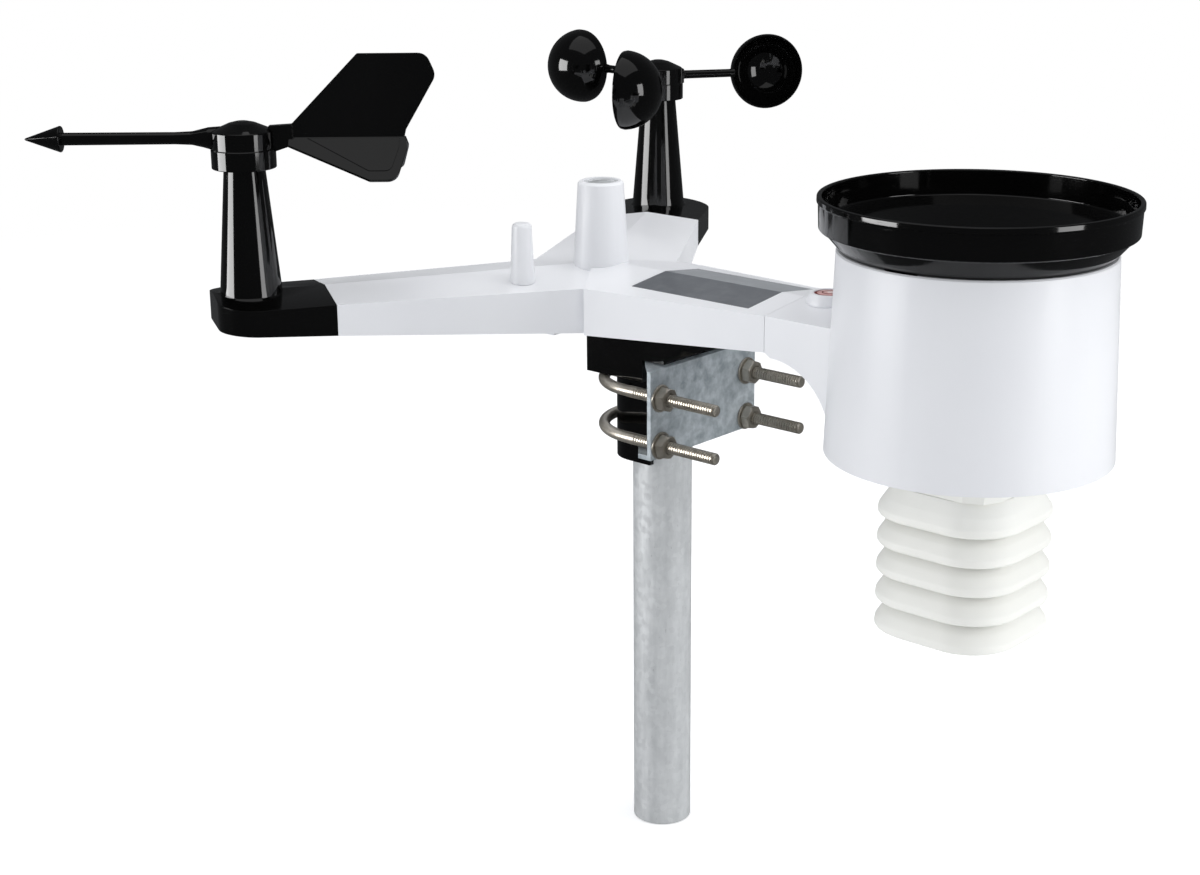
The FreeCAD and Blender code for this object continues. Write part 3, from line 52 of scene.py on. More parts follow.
VANE, CUPS, GAUGE = (Vector(JOINTS[name]["pos_m"])
                     for name in ("vane_turn", "cup_turn", "funnel_twist"))
SLOTS = {part["node"]: part["material_slot"] for part in frame["record"]["subparts"]}
BODY_OF = {node: body for body, nodes in frame["record"]["behaviour"]["bodies"].items()
           for node in nodes}


# ---------------------------------------------------------------- outlines and meshes

ON_AXIS = 1e-4           # mm: a profile point closer to the axis than this lies on it
ARC_SHARE = 0.49         # an arc takes up at most this share of the sides beside its corner
BEVEL_ABOVE = 30.0       # degrees: edges that turn more than this are rounded
FINE_BEVEL = 0.4         # mm: up to this width a bevel has two segments, beyond it three
SMOOTH_BELOW = 35.0      # degrees: edges that turn less than this are shaded smooth
KEEP_FACETS = 9.0        # degrees: the same, for shells whose shallow ridges show
WELD = 1e-6              # m: CAD vertices closer than this are one
FLAT_WITHIN = 0.4        # degrees: CAD triangles that turn less than this are one face


def turned(vector, angle):
    """A 2-D vector turned anticlockwise."""
    c, s = math.cos(angle), math.sin(angle)
    return Vector((vector.x * c - vector.y * s, vector.x * s + vector.y * c))


def rounded(points, closed=True, pieces=6):
    """Outline in mm with an arc at each corner that has a radius as its third value."""
    out = []
    for index, point in enumerate(points):
        here = Vector(point[:2])
        at_end = not closed and index in (0, len(points) - 1)
        if len(point) < 3 or at_end:
            out.append(here)
            continue
        back = Vector(points[index - 1][:2]) - here
        ahead = Vector(points[(index + 1) % len(points)][:2]) - here
        half = back.angle(ahead) / 2
        reach = min(point[2] / math.tan(half), ARC_SHARE * back.length, ARC_SHARE * ahead.length)
        radius = reach * math.tan(half)
        inward = (back.normalized() + ahead.normalized()).normalized()
        centre = here + inward * radius / math.sin(half)
        start = here + back.normalized() * reach - centre
        end = here + ahead.normalized() * reach - centre
        sweep = math.atan2(start.cross(end), start.dot(end))
        out += [centre + turned(start, sweep * step / pieces) for step in range(pieces + 1)]
    return out


def round_angles(count):
    """Evenly spaced angles of one full turn."""
    return [2 * math.pi * k / count for k in range(count)]


def skin(mesh, rings, closed=False):
    """Faces between rings of points; a ring of one point is met by a fan of triangles."""
    made = [[mesh.verts.new(point) for point in ring] for ring in rings]
    pairs = list(zip(made, made[1:]))
    if closed:
        pairs.append((made[-1], made[0]))
    for low, high in pairs:
        count = max(len(low), len(high))
        for k in range(count):
            n = (k + 1) % count
            if len(low) == 1:
                mesh.faces.new((low[0], high[n], high[k]))
            elif len(high) == 1:
                mesh.faces.new((low[k], low[n], high[0]))
            else:
                mesh.faces.new((low[k], low[n], high[n], high[k]))
    return made


def loft(mesh, rings):
    """Skin over rings of equal length, with a cap at either end."""
    made = skin(mesh, rings)
    mesh.faces.new(made[0])
    mesh.faces.new(made[-1])


def lathe(mesh, profile, place=Matrix(), segments=96, closed=False):
    """Turn a profile of (radius, height) in mm about Z, then put it in its place."""
    rings = []
    for radius, height in profile:
        if radius < ON_AXIS:
            rings.append([place @ Vector((0, 0, height * MM))])
        else:
            rings.append([place @ Vector((radius * math.cos(angle) * MM,
                                          radius * math.sin(angle) * MM, height * MM))
                          for angle in round_angles(segments)])
    skin(mesh, rings, closed)


def slab(mesh, outline, thickness, place):
    """Flat plate: an outline in mm in the XZ plane, extruded evenly to both sides of it."""
    loft(mesh, [[place @ (Vector((p.x, side * thickness, p.y)) * MM) for p in outline]
                for side in (-0.5, 0.5)])


def soften(mesh, width):
    """Round the sharp edges, as moulding or cutting leaves them, over a width in mm."""
    sharp = [edge for edge in mesh.edges if len(edge.link_faces) == 2
             and edge.calc_face_angle(0.0) > math.radians(BEVEL_ABOVE)]
    bmesh.ops.bevel(mesh, geom=sharp, offset=width * MM, offset_type="OFFSET",
                    segments=3 if width > FINE_BEVEL else 2, profile=0.5, affect="EDGES",
                    clamp_overlap=True)


def settle(name, mesh, node, angle):
    """Object from a finished mesh that stands for a CAD node and rides on its body."""
    data = bpy.data.meshes.new(name)
    mesh.to_mesh(data)
    mesh.free()
    data.shade_smooth()
    data.set_sharp_from_angle(angle=math.radians(angle))
    made = bpy.data.objects.new(name, data)
    bpy.context.scene.collection.objects.link(made)
    weight = made.modifiers.new("even_normals", "WEIGHTED_NORMAL")
    weight.keep_sharp = True
    data.materials.append(MATERIALS[SLOTS[node]])
    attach(made, BODY_OF[node])
    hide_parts(node)


def piece(name, build, node, bevel=None, angle=SMOOTH_BELOW):
    """Make a piece that stands for a CAD node from a mesh-building function."""
    mesh = bmesh.new()
    build(mesh)
    bmesh.ops.recalc_face_normals(mesh, faces=mesh.faces)
    if bevel:
        soften(mesh, bevel)
    settle(name, mesh, node, angle)


def crisp(node, bevel, angle=SMOOTH_BELOW):
    """The CAD node's own shape again, with its edges softened."""
    mesh = bmesh.new()
    mesh.from_mesh(frame["nodes"][node].data)
    bmesh.ops.remove_doubles(mesh, verts=mesh.verts, dist=WELD)
    bmesh.ops.dissolve_limit(mesh, angle_limit=math.radians(FLAT_WITHIN), verts=mesh.verts,
                             edges=mesh.edges, delimit={"NORMAL"})
    soften(mesh, bevel)
    settle(node + "_skin", mesh, node, angle)


# ---------------------------------------------------------------- materials

class Nodes:
    """The node tree of a material or world, put together call by call."""

    def __init__(self, owner):
        owner.use_nodes = True
        self.tree = owner.node_tree
        self.tree.nodes.clear()

    def add(self, kind, settings=None, inputs=None):
        """A node with its settings; an input is either a value or another node's socket."""
        node = self.tree.nodes.new(kind)
        for key, value in (settings or {}).items():
            setattr(node, key, value)
        for key, value in (inputs or {}).items():
            if isinstance(value, bpy.types.NodeSocket):
                self.tree.links.new(value, node.inputs[key])
            else:
                node.inputs[key].default_value = value
        return node


class Shader(Nodes):
    """A node material in object space, put together by small methods."""

    def __init__(self, name):
        self.material = bpy.data.materials.new(name)
        super().__init__(self.material)
        self.space = self.add("ShaderNodeTexCoord").outputs["Object"]

    def noise(self, size, detail=3.0, rough=0.5, stretch=(1, 1, 1)):
        """Noise whose features are about this many millimetres across."""
        mapping = self.add("ShaderNodeMapping", None, {
            "Vector": self.space, "Scale": tuple(1 / s for s in stretch)})
        return self.add("ShaderNodeTexNoise", None, {
            "Vector": mapping.outputs[0], "Scale": 1 / (size * MM), "Detail": detail,
            "Roughness": rough}).outputs["Fac"]

    def cells(self, size, feature):
        """Voronoi cells of a size in millimetres."""
        return self.add("ShaderNodeTexVoronoi", {"feature": feature}, {
            "Vector": self.space, "Scale": 1 / (size * MM)}).outputs

    def crystals(self, size):
        """A value that is even within each crystal and random between them."""
        return self.add("ShaderNodeSeparateColor", None, {
            0: self.cells(size, "F1")["Color"]}).outputs[0]

    def cell_edges(self, size):
        """Distance to the nearest edge between cells, as a share of their size."""
        return self.cells(size, "DISTANCE_TO_EDGE")["Distance"]

    def axes(self, vector):
        """The X, Y and Z of a vector."""
        return self.add("ShaderNodeSeparateXYZ", None, {0: vector}).outputs

    def facing(self):
        """The X, Y and Z of the surface normal."""
        return self.axes(self.add("ShaderNodeNewGeometry").outputs["Normal"])

    def span(self, value, low, high, to_low=0.0, to_high=1.0):
        """Map low..high to another range and clamp it there."""
        return self.add("ShaderNodeMapRange", {"clamp": True}, {
            "Value": value, "From Min": low, "From Max": high,
            "To Min": to_low, "To Max": to_high}).outputs[0]

    def mix(self, share, first, second):
        """Blend two colours."""
        node = self.add("ShaderNodeMix", {"data_type": "RGBA"}, {0: share})
        for index, value in ((6, first), (7, second)):
            if isinstance(value, bpy.types.NodeSocket):
                self.tree.links.new(value, node.inputs[index])
            else:
                node.inputs[index].default_value = (*value, 1.0)
        return node.outputs[2]

    def maths(self, operation, first, second):
        return self.add("ShaderNodeMath", {"operation": operation}, {
            0: first, 1: second}).outputs[0]

    def stripes(self, along, half_pitch, inner, outer):
        """Lines across an axis, twice half_pitch apart, whose edge fades from inner to outer."""
        off = self.maths("PINGPONG", self.maths("ADD", along, 1.0), half_pitch * MM)
        return self.span(off, inner * MM, outer * MM, 1.0, 0.0)

    def bump(self, height, depth, under=None):
        """Relief of a depth in micrometres."""
        inputs = {"Height": height, "Distance": depth * 1e-6, "Strength": 1.0}
        if under is not None:
            inputs["Normal"] = under
        return self.add("ShaderNodeBump", None, inputs).outputs[0]

    def show(self, surface):
        """Make a shader node the material's surface."""
        self.add("ShaderNodeOutputMaterial", None, {"Surface": surface.outputs[0]})
        return self.material

    def principled(self, inputs):
        return self.show(self.add("ShaderNodeBsdfPrincipled", None, inputs))


def grey(value):
    return (value, value, value)


def scratches(shader, strength):
    """Fine hairlines in two directions, from stretched noise."""
    along = shader.noise(0.5, 2.0, 0.6, stretch=(26, 1, 1))
    across = shader.noise(0.6, 2.0, 0.6, stretch=(1, 22, 3))
    first = shader.span(along, 0.66, 0.74)
    second = shader.span(across, 0.67, 0.75)
    return shader.maths("MULTIPLY", shader.maths("MAXIMUM", first, second), strength)


def moulded(name, dark, light, rough, grain, dust, dust_colour, shine=0.5):
    """Injection-moulded plastic: flow marks, handling smudges, orange peel and settled dust."""
    shader = Shader(name)
    flow = shader.noise(60.0, 2.0, stretch=(1, 1, 2.2))
    colour = shader.mix(shader.span(flow, 0.35, 0.65), dark, light)
    speck = shader.span(shader.noise(0.7, 2.0, 0.7), 0.70, 0.78)
    patch = shader.span(shader.noise(16.0, 3.0, 0.6), 0.45, 0.75)
    upward = shader.span(shader.facing()["Z"], 0.1, 1.0, 0.35, 1.0)
    dirt = shader.maths("MULTIPLY", shader.maths("MULTIPLY", speck, patch), upward)
    colour = shader.mix(shader.maths("MULTIPLY", dirt, dust), colour, dust_colour)
    smudge = shader.span(shader.noise(38.0, 4.0, 0.62), 0.38, 0.70, *rough)
    marks = scratches(shader, 0.10)
    dull = shader.maths("MULTIPLY", dirt, 0.35)
    roughness = shader.maths("ADD", smudge, shader.maths("ADD", marks, dull))
    peel = shader.bump(shader.noise(2.4, 2.0), grain * 4)
    normal = shader.bump(shader.noise(0.22, 2.0), grain, peel)
    return shader.principled({"Base Color": colour, "Roughness": roughness, "Normal": normal,
                              "IOR": 1.5, "Specular IOR Level": shine})


def galvanised(name, dark, light, spangle, rough, drawn=1):
    """Zinc coat: crystal spangle, cloudy mottling and small dark pits, drawn out along Z."""
    shader = Shader(name)
    crystal = shader.crystals(spangle)
    cloud = shader.noise(7.0, 4.0, 0.65, stretch=(1, 1, drawn))
    bands = shader.noise(3.5, 2.0, stretch=(1, 1, drawn ** 2))
    blend = shader.maths("ADD", shader.maths("MULTIPLY", crystal, 0.30),
                         shader.span(cloud, 0.32, 0.70, 0.0, 0.55))
    blend = shader.maths("ADD", blend, shader.span(bands, 0.36, 0.66, -0.12, 0.16))
    colour = shader.mix(blend, dark, light)
    pits = shader.span(shader.noise(0.9, 2.0, 0.7, stretch=(1, 1, drawn)), 0.68, 0.76)
    colour = shader.mix(shader.maths("MULTIPLY", pits, 0.45), colour, [c * 0.45 for c in dark])
    streak = shader.noise(1.2, 3.0, 0.6, stretch=(1, 1, 14))
    roughness = shader.maths("ADD", shader.span(crystal, 0.0, 1.0, *rough),
                             shader.span(streak, 0.4, 0.7, 0.0, 0.10))
    relief = shader.bump(crystal, 3.0)
    normal = shader.bump(cloud, 18.0, relief)
    return shader.principled({"Base Color": colour, "Metallic": 0.32, "Roughness": roughness,
                              "Normal": normal})


def metal(name, dark, light, rough, tarnish=5.0):
    """Plain metal with tarnish clouds of a size in mm and fine drawing marks."""
    shader = Shader(name)
    cloud = shader.noise(tarnish, 4.0, 0.6)
    lines = shader.noise(0.25, 2.0, 0.6)
    colour = shader.mix(shader.span(cloud, 0.35, 0.7), dark, light)
    roughness = shader.maths("ADD", shader.span(cloud, 0.3, 0.7, *rough),
                             shader.span(lines, 0.45, 0.7, 0.0, 0.08))
    return shader.principled({"Base Color": colour, "Metallic": 0.8, "Roughness": roughness,
                              "Normal": shader.bump(lines, 2.0)})


def tinted_glass(name, tint, rough, transmission, marks, facet_sheen=(0.0, 0.0)):
    """Clear or smoked plastic with water marks; the last argument paints a reflection, a lighter tone, on its
    facets facing -Y and +Y.
    """
    shader = Shader(name)
    film = shader.span(shader.noise(9.0, 4.0, 0.6), 0.42, 0.75)
    dried = shader.span(shader.cell_edges(6.0), 0.0, 0.05, 1.0, 0.0)
    marks_and_sheen = shader.maths("MULTIPLY", shader.maths("MAXIMUM", film, shader.maths(
        "MULTIPLY", dried, 0.25)), marks)
    # painted reflection: facets facing +Y are painted lighter than those facing -Y, in place of the light they
    # mirror
    marks_and_sheen = shader.maths("ADD", marks_and_sheen, shader.span(shader.facing()["Y"], -0.01, 0.01, *facet_sheen))
    colour = shader.mix(marks_and_sheen, tint, (0.66, 0.69, 0.72))
    clear = shader.maths("SUBTRACT", transmission, marks_and_sheen)
    roughness = shader.span(film, 0.0, 1.0, rough, rough + 0.12)
    return shader.principled({"Base Color": colour, "Roughness": roughness, "IOR": 1.49,
                              "Transmission Weight": clear,
                              "Normal": shader.bump(shader.noise(24.0, 2.0), 30.0)})


def level_vial(name):
    """Spirit level: pink fluid under a clear face, a printed ring and the bubble within it."""
    shader = Shader(name)
    low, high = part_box("bubble_vial")
    middle = (low + high) / 2
    flat = shader.add("ShaderNodeMapping", None, {
        "Vector": shader.space, "Location": (-middle.x, -middle.y, 0.0), "Scale": (1, 1, 0)})
    radius = shader.add("ShaderNodeVectorMath", {"operation": "LENGTH"}, {
        0: flat.outputs[0]}).outputs["Value"]
    ring = shader.maths("COMPARE", radius, 2.7 * MM)
    ring.node.inputs[2].default_value = 0.28 * MM
    edge = shader.span(radius, 4.6 * MM, 5.0 * MM)
    off = shader.add("ShaderNodeVectorMath", {"operation": "DISTANCE"}, {
        0: flat.outputs[0], 1: (0.7 * MM, 0.4 * MM, 0.0)}).outputs["Value"]
    bubble = shader.span(off, 1.5 * MM, 1.7 * MM, 1.0, 0.0)
    cloud = shader.span(shader.noise(3.0), 0.35, 0.7)
    fluid = shader.mix(cloud, (0.62, 0.36, 0.35), (0.74, 0.48, 0.46))
    colour = shader.mix(bubble, fluid, (0.86, 0.72, 0.70))
    colour = shader.mix(shader.maths("MAXIMUM", ring, edge), colour, (0.20, 0.035, 0.035))
    roughness = shader.span(shader.noise(4.0), 0.3, 0.7, 0.05, 0.16)
    return shader.principled({"Base Color": colour, "Roughness": roughness,
                              "Normal": shader.bump(bubble, 40.0)})


def solar_wafer(name):
    """Dark silicon with thin silver fingers, two busbars and gaps between the cells."""
    shader = Shader(name)
    axes = shader.axes(shader.space)
    finger = shader.stripes(axes["X"], 1.1, 0.04, 0.09)
    gap = shader.stripes(axes["X"], 6.6, 0.25, 0.35)
    busbar = shader.stripes(axes["Y"], 8.0, 0.35, 0.45)
    wafer = shader.mix(shader.crystals(3.5), (0.014, 0.018, 0.035), (0.035, 0.042, 0.075))
    silver = shader.maths("MAXIMUM", finger, busbar)
    colour = shader.mix(shader.maths("MULTIPLY", silver, 0.55), wafer, (0.42, 0.43, 0.45))
    colour = shader.mix(gap, colour, (0.16, 0.16, 0.17))
    return shader.principled({"Base Color": colour, "Roughness": 0.28,
                              "Normal": shader.bump(silver, 20.0)})


def circuit_board(name):
    """Green solder mask over darker copper runs."""
    shader = Shader(name)
    runs = shader.span(shader.cell_edges(3.0), 0.02, 0.05)
    colour = shader.mix(runs, (0.03, 0.20, 0.09), (0.012, 0.10, 0.045))
    speck = shader.span(shader.noise(1.2, 1.0), 0.72, 0.75)
    colour = shader.mix(speck, colour, (0.55, 0.52, 0.45))
    roughness = shader.span(shader.noise(8.0), 0.3, 0.7, 0.32, 0.55)
    return shader.principled({"Base Color": colour, "Roughness": roughness,
                              "Normal": shader.bump(runs, 25.0)})


def cell_sleeve(name):
    """Printed sleeve of a battery: dark body with a lighter band, no lettering."""
    shader = Shader(name)
    band = shader.span(shader.axes(shader.space)["Y"], 11.0 * MM, 11.3 * MM)
    colour = shader.mix(band, (0.03, 0.035, 0.04), (0.55, 0.33, 0.10))
    roughness = shader.span(shader.noise(10.0), 0.3, 0.7, 0.25, 0.45)
    return shader.principled({"Base Color": colour, "Metallic": 0.5, "Roughness": roughness,
                              "Normal": shader.bump(shader.noise(1.0, 2.0), 4.0)})


HOUSE_DUST = (0.50, 0.48, 0.44)
RECIPES = {
    "white_abs": (moulded, dict(
        dark=(0.80, 0.81, 0.84), light=(0.84, 0.85, 0.875), rough=(0.30, 0.42), grain=1.6,
        dust=0.20, dust_colour=HOUSE_DUST, shine=0.4)),
    "black_abs": (moulded, dict(
        dark=grey(0.0010), light=grey(0.0020), rough=(0.04, 0.11), grain=0.25,
        dust=0.05, dust_colour=grey(0.10))),
    "shield_white": (moulded, dict(
        dark=(0.88, 0.88, 0.835), light=(0.91, 0.915, 0.875), rough=(0.48, 0.62), grain=5.0,
        dust=0.30, dust_colour=(0.55, 0.53, 0.45))),
    "inner_black": (moulded, dict(
        dark=grey(0.012), light=grey(0.020), rough=(0.38, 0.55), grain=4.0,
        dust=0.20, dust_colour=HOUSE_DUST)),
    "galvanised": (galvanised, dict(
        dark=(0.29, 0.33, 0.355), light=(0.56, 0.61, 0.64), spangle=3.2, rough=(0.34, 0.50))),
    "mast_zinc": (galvanised, dict(
        dark=(0.62, 0.64, 0.65), light=(0.82, 0.84, 0.85), spangle=2.2, rough=(0.30, 0.44),
        drawn=3)),
    "stainless": (metal, dict(
        dark=(0.38, 0.35, 0.30), light=(0.60, 0.56, 0.49), rough=(0.27, 0.36), tarnish=12.0)),
    "magnet": (metal, dict(
        dark=(0.42, 0.41, 0.39), light=(0.55, 0.54, 0.52), rough=(0.18, 0.32))),
    "brass": (metal, dict(
        dark=(0.55, 0.38, 0.14), light=(0.75, 0.56, 0.26), rough=(0.20, 0.36))),
    "screen_metal": (metal, dict(
        dark=(0.36, 0.36, 0.35), light=(0.58, 0.58, 0.57), rough=(0.28, 0.42))),
    "solar_glass": (tinted_glass, dict(
        # painted reflection: the window's far facet, facing +Y, is painted lighter than its near facet
        tint=(0.14, 0.15, 0.17), rough=0.03, transmission=0.55, marks=0.06, facet_sheen=(0.19, 0.62))),
    "clear_lens": (tinted_glass, dict(
        tint=(0.62, 0.64, 0.65), rough=0.08, transmission=0.25, marks=0.25)),
    "level_pink": (level_vial, {}),
    "cell_blue": (solar_wafer, {}),
    "board_green": (circuit_board, {}),
    "cell_can": (cell_sleeve, {}),
}
MATERIALS = {slot: make(slot, **values) for slot, (make, values) in RECIPES.items()}


def dress_cad_nodes():
    """Every CAD node takes its material from its slot, whether or not it stays in view."""
    for node, made in frame["nodes"].items():
        material = MATERIALS[SLOTS[node]]
        if not made.material_slots:
            made.data.materials.append(material)
        for material_slot in made.material_slots:
            material_slot.material = material


# ---------------------------------------------------------------- body

SHELL_BEVELS = {
    "gauge_base": 0.7, "sensor_pillar": 0.6, "antenna_cover": 0.6, "bubble_level": 0.5,
    "vane_tower": 0.5, "cup_tower": 0.5, "mast_socket": 0.6, "clamp_plate": 0.3,
    "mast_tube": 0.3, "battery_door": 0.4, "gauge_floor": 0.3,
}
FACETED_BEVELS = {"body_upper_shell": 0.7, "body_lower_cover": 0.35, "solar_window": 0.25}


def build_shells():
    for node, width in SHELL_BEVELS.items():
        crisp(node, width)
    for node, width in FACETED_BEVELS.items():
        crisp(node, width, KEEP_FACETS)


# ---------------------------------------------------------------- wind vane and cup wheel

POINTER_HEIGHT = 64.8    # mm: the pointer's axis above the deck
FIN_LEAN = 46.0          # degrees: how far each lower fin leans out of the upper fin's plane
HUB_FACE = 0.42          # mm: how far a hub's upper band stands back from its skirt
VANE_HUB, CUP_HUB = (13.0, 10.8), (12.05, 9.8)  # mm: radius of a hub and of its cavity
WEB_THICK, BOSS_THICK = 3.4, 8.4                # mm
UPPER_THICK, LOWER_THICK, PANEL_THICK = 2.0, 1.5, 2.0  # mm: the fins and the lower ones' panel

POINTER = [(0, 9.0), (4.6, 9.0), (4.3, 13.6, 4.0), (2.75, 20.0, 8.0), (2.45, 27.0, 8.0),
           (2.55, 72.4), (2.55, 72.6, 0.1), (5.5, 72.6, 0.5), (0.45, 87.1, 0.4), (0, 87.5)]
FRONT_WEB = [(11.2, -4.9, 0.5), (15.5, -3.6, 1.5), (21, -2.3), (21, 2.3), (15.5, 3.3, 1.5),
             (11.2, 4.2, 0.5)]
REAR_WEB = [(-10.5, -6.3, 0.5), (-20.4, -3.0), (-20.4, 5.4), (-10.5, 4.8, 0.5)]
UPPER_FIN = [(-18.0, -4.0), (-18.0, 5.0), (-19.4, 5.0, 2.0), (-47.0, 33.1, 1.2),
             (-74.4, 33.1, 5.0), (-78.2, 24.2, 5.0), (-65.6, 2.8, 2.5), (-64.8, -0.5)]
LOWER_FIN = [(-18.5, -0.5), (-18.5, -4.6), (-52.0, -22.0, 2.0), (-62.6, -22.0, 4.5),
             (-66.2, -6.0, 3.0), (-65.4, -0.5)]
FIN_PANEL = [(-26.0, -1.2), (-51.4, -17.6, 2.0), (-60.2, -17.6, 3.0), (-63.0, -6.0, 3.0),
             (-63.0, -1.2)]

CUP_RADIUS, CUP_WALL = 18.28, 1.3
CUP_REACH, CUP_HEIGHT = 55.3, 63.9
CUP_STEPS = 20
SPOKE_END = CUP_REACH - CUP_RADIUS
SPOKE = [(0, 9.5), (3.1, 9.5), (3.1, 12.4, 0.4), (2.05, 12.9, 0.4), (2.0, 15.0), (1.95, 36.0),
         (2.3, SPOKE_END + 1.0, 1.0), (2.3, SPOKE_END + 1.2), (0, SPOKE_END + 1.2)]
BOSS = [(10.2, 60.2, 0.6), (12.0, 60.4, 0.3), (12.0, 67.2, 0.3), (10.2, 67.2, 0.6)]


def heading_of(node, axis, rank):
    """Heading from a vertical axis to the vertex of a node that ranks highest."""
    outs = [vertex.co - axis for vertex in frame["nodes"][node].data.vertices]
    out = max(outs, key=rank)
    return math.atan2(out.y, out.x)


def quarter_turn(axis, sign=1):
    """Turn of 90 degrees about an axis."""
    return Matrix.Rotation(math.radians(90 * sign), 4, axis)


def hub_profile(radius, cavity):
    """Domed cap over the tower's neck: skirt, a fine step, an upper band and a low dome."""
    ceiling, skirt, step, shoulder, top = 62.5, 52.8, 60.4, 67.6, 71.5
    face = radius - HUB_FACE
    return rounded([
        (0, ceiling), (cavity - 1.2, ceiling, 0.8), (cavity, skirt, 0.3), (radius, skirt, 0.35),
        (radius, step, 0.2), (face, step + 0.35, 0.15), (face, shoulder, 0.7),
        (radius * 0.80, shoulder + 1.0, 4.0), (radius * 0.42, top - 0.75, 3.0),
        (radius * 0.18, top, 2.0), (0, top),
    ], closed=False, pieces=8)


def build_vane():
    node = "wind_vane"
    turn = heading_of(node, VANE, lambda out: out.xy.length)
    upright = Matrix.Translation(VANE) @ Matrix.Rotation(turn, 4, "Z")
    level = upright @ Matrix.Translation((0, 0, POINTER_HEIGHT * MM))
    along = level @ quarter_turn("Y")

    piece("vane_hub", lambda mesh: lathe(mesh, hub_profile(*VANE_HUB), upright), node)
    pointer = rounded(POINTER, closed=False, pieces=5)
    piece("vane_pointer", lambda mesh: lathe(mesh, pointer, along, segments=64), node)

    def webs(mesh):
        for outline in (FRONT_WEB, REAR_WEB):
            slab(mesh, rounded(outline, pieces=3), WEB_THICK, level)

    piece("vane_webs", webs, node, bevel=0.6)
    piece("vane_fin_upper", lambda mesh: slab(mesh, rounded(UPPER_FIN), UPPER_THICK, level),
          node, bevel=0.35)
    for name, lean in (("left", FIN_LEAN), ("right", -FIN_LEAN)):
        swung = level @ Matrix.Rotation(math.radians(lean), 4, "X")

        def fin(mesh, swung=swung):
            slab(mesh, rounded(LOWER_FIN), LOWER_THICK, swung)
            slab(mesh, rounded(FIN_PANEL, pieces=4), PANEL_THICK, swung)

        piece("vane_fin_" + name, fin, node, bevel=0.22)


def cup_profile():
    """Half shell with a flat lip, from its pole round the rim and back along the inside."""
    rise = [math.radians(90) / CUP_STEPS * k for k in range(CUP_STEPS + 1)]
    inside = CUP_RADIUS - CUP_WALL
    outer = [(CUP_RADIUS * math.cos(a), CUP_RADIUS * math.sin(a)) for a in rise[:0:-1]]
    lip = [(CUP_RADIUS - 0.35, 0.0), (inside + 0.3, 0.0)]
    inner = [(inside * math.cos(a), inside * math.sin(a)) for a in rise[1:]]
    return [(max(radius, 0.0), height) for radius, height in outer + lip + inner]


def build_cups():
    node = "cup_wheel"
    first = heading_of(node, CUPS, lambda out: out.z)
    upright = Matrix.Translation(CUPS)
    piece("cup_hub", lambda mesh: lathe(mesh, hub_profile(*CUP_HUB), upright), node)
    shell = cup_profile()
    spoke = rounded(SPOKE, closed=False, pieces=3)
    boss = rounded(BOSS, pieces=3)

    for index, angle in enumerate(round_angles(3)):
        arm = upright @ Matrix.Rotation(first + angle, 4, "Z")
        cup_place = (arm @ Matrix.Translation((CUP_REACH * MM, 0, CUP_HEIGHT * MM))
                     @ quarter_turn("X", -1))
        spoke_place = arm @ Matrix.Translation((0, 0, CUP_HEIGHT * MM)) @ quarter_turn("Y")
        number = str(index + 1)
        piece("cup_shell_" + number, lambda mesh: lathe(mesh, shell, cup_place, segments=80), node)
        piece("cup_spoke_" + number, lambda mesh: lathe(mesh, spoke, spoke_place, segments=40),
              node)
        piece("cup_boss_" + number, lambda mesh: slab(mesh, boss, BOSS_THICK, arm), node,
              bevel=0.3)


# ---------------------------------------------------------------- rain gauge and shield

FUNNEL = [
    (3.5, 10.2, 0.2), (6.0, 10.2, 0.5), (6.0, 19.6, 1.5), (47.0, 31.6, 1.0), (47.0, 27.2, 0.3),
    (49.0, 27.2, 0.5), (49.1, 33.55, 0.1), (50.4, 33.55, 0.3), (56.9, 41.0, 0.8),
    (58.45, 41.5, 0.5), (58.8, 51.0, 0.2), (59.35, 51.5, 0.3), (59.3, 53.6, 0.55),
    (57.4, 53.6, 0.55), (56.6, 43.9, 0.8), (10.5, 22.4, 6.0), (3.5, 20.6, 0.8),
]
LOUVRES = 5
LOUVRE_PITCH = 11.5      # mm
LOUVRE_BAND = 3.0        # mm: height of a louvre's upright edge
LOUVRE_CORNER = 20.0     # mm: corner radius of a louvre's edge
CORNER_STEPS = 18


def build_funnel():
    profile = rounded(FUNNEL, pieces=5)
    place = Matrix.Translation(GAUGE)
    piece("funnel_skin", lambda mesh: lathe(mesh, profile, place, segments=160, closed=True),
          "rain_funnel")


def square_ring(half, corner, height):
    """Closed ring of points round a rounded square, in mm about the gauge's axis."""
    points = []
    reach = (half - corner) * math.sqrt(2)
    for turn in range(4):
        mid = math.pi / 2 * turn + math.pi / 4
        for step in range(CORNER_STEPS):
            angle = math.pi / 2 * (turn + step / (CORNER_STEPS - 1))
            points.append(GAUGE + Vector((
                reach * math.cos(mid) + corner * math.cos(angle),
                reach * math.sin(mid) + corner * math.sin(angle), height)) * MM)
    return points


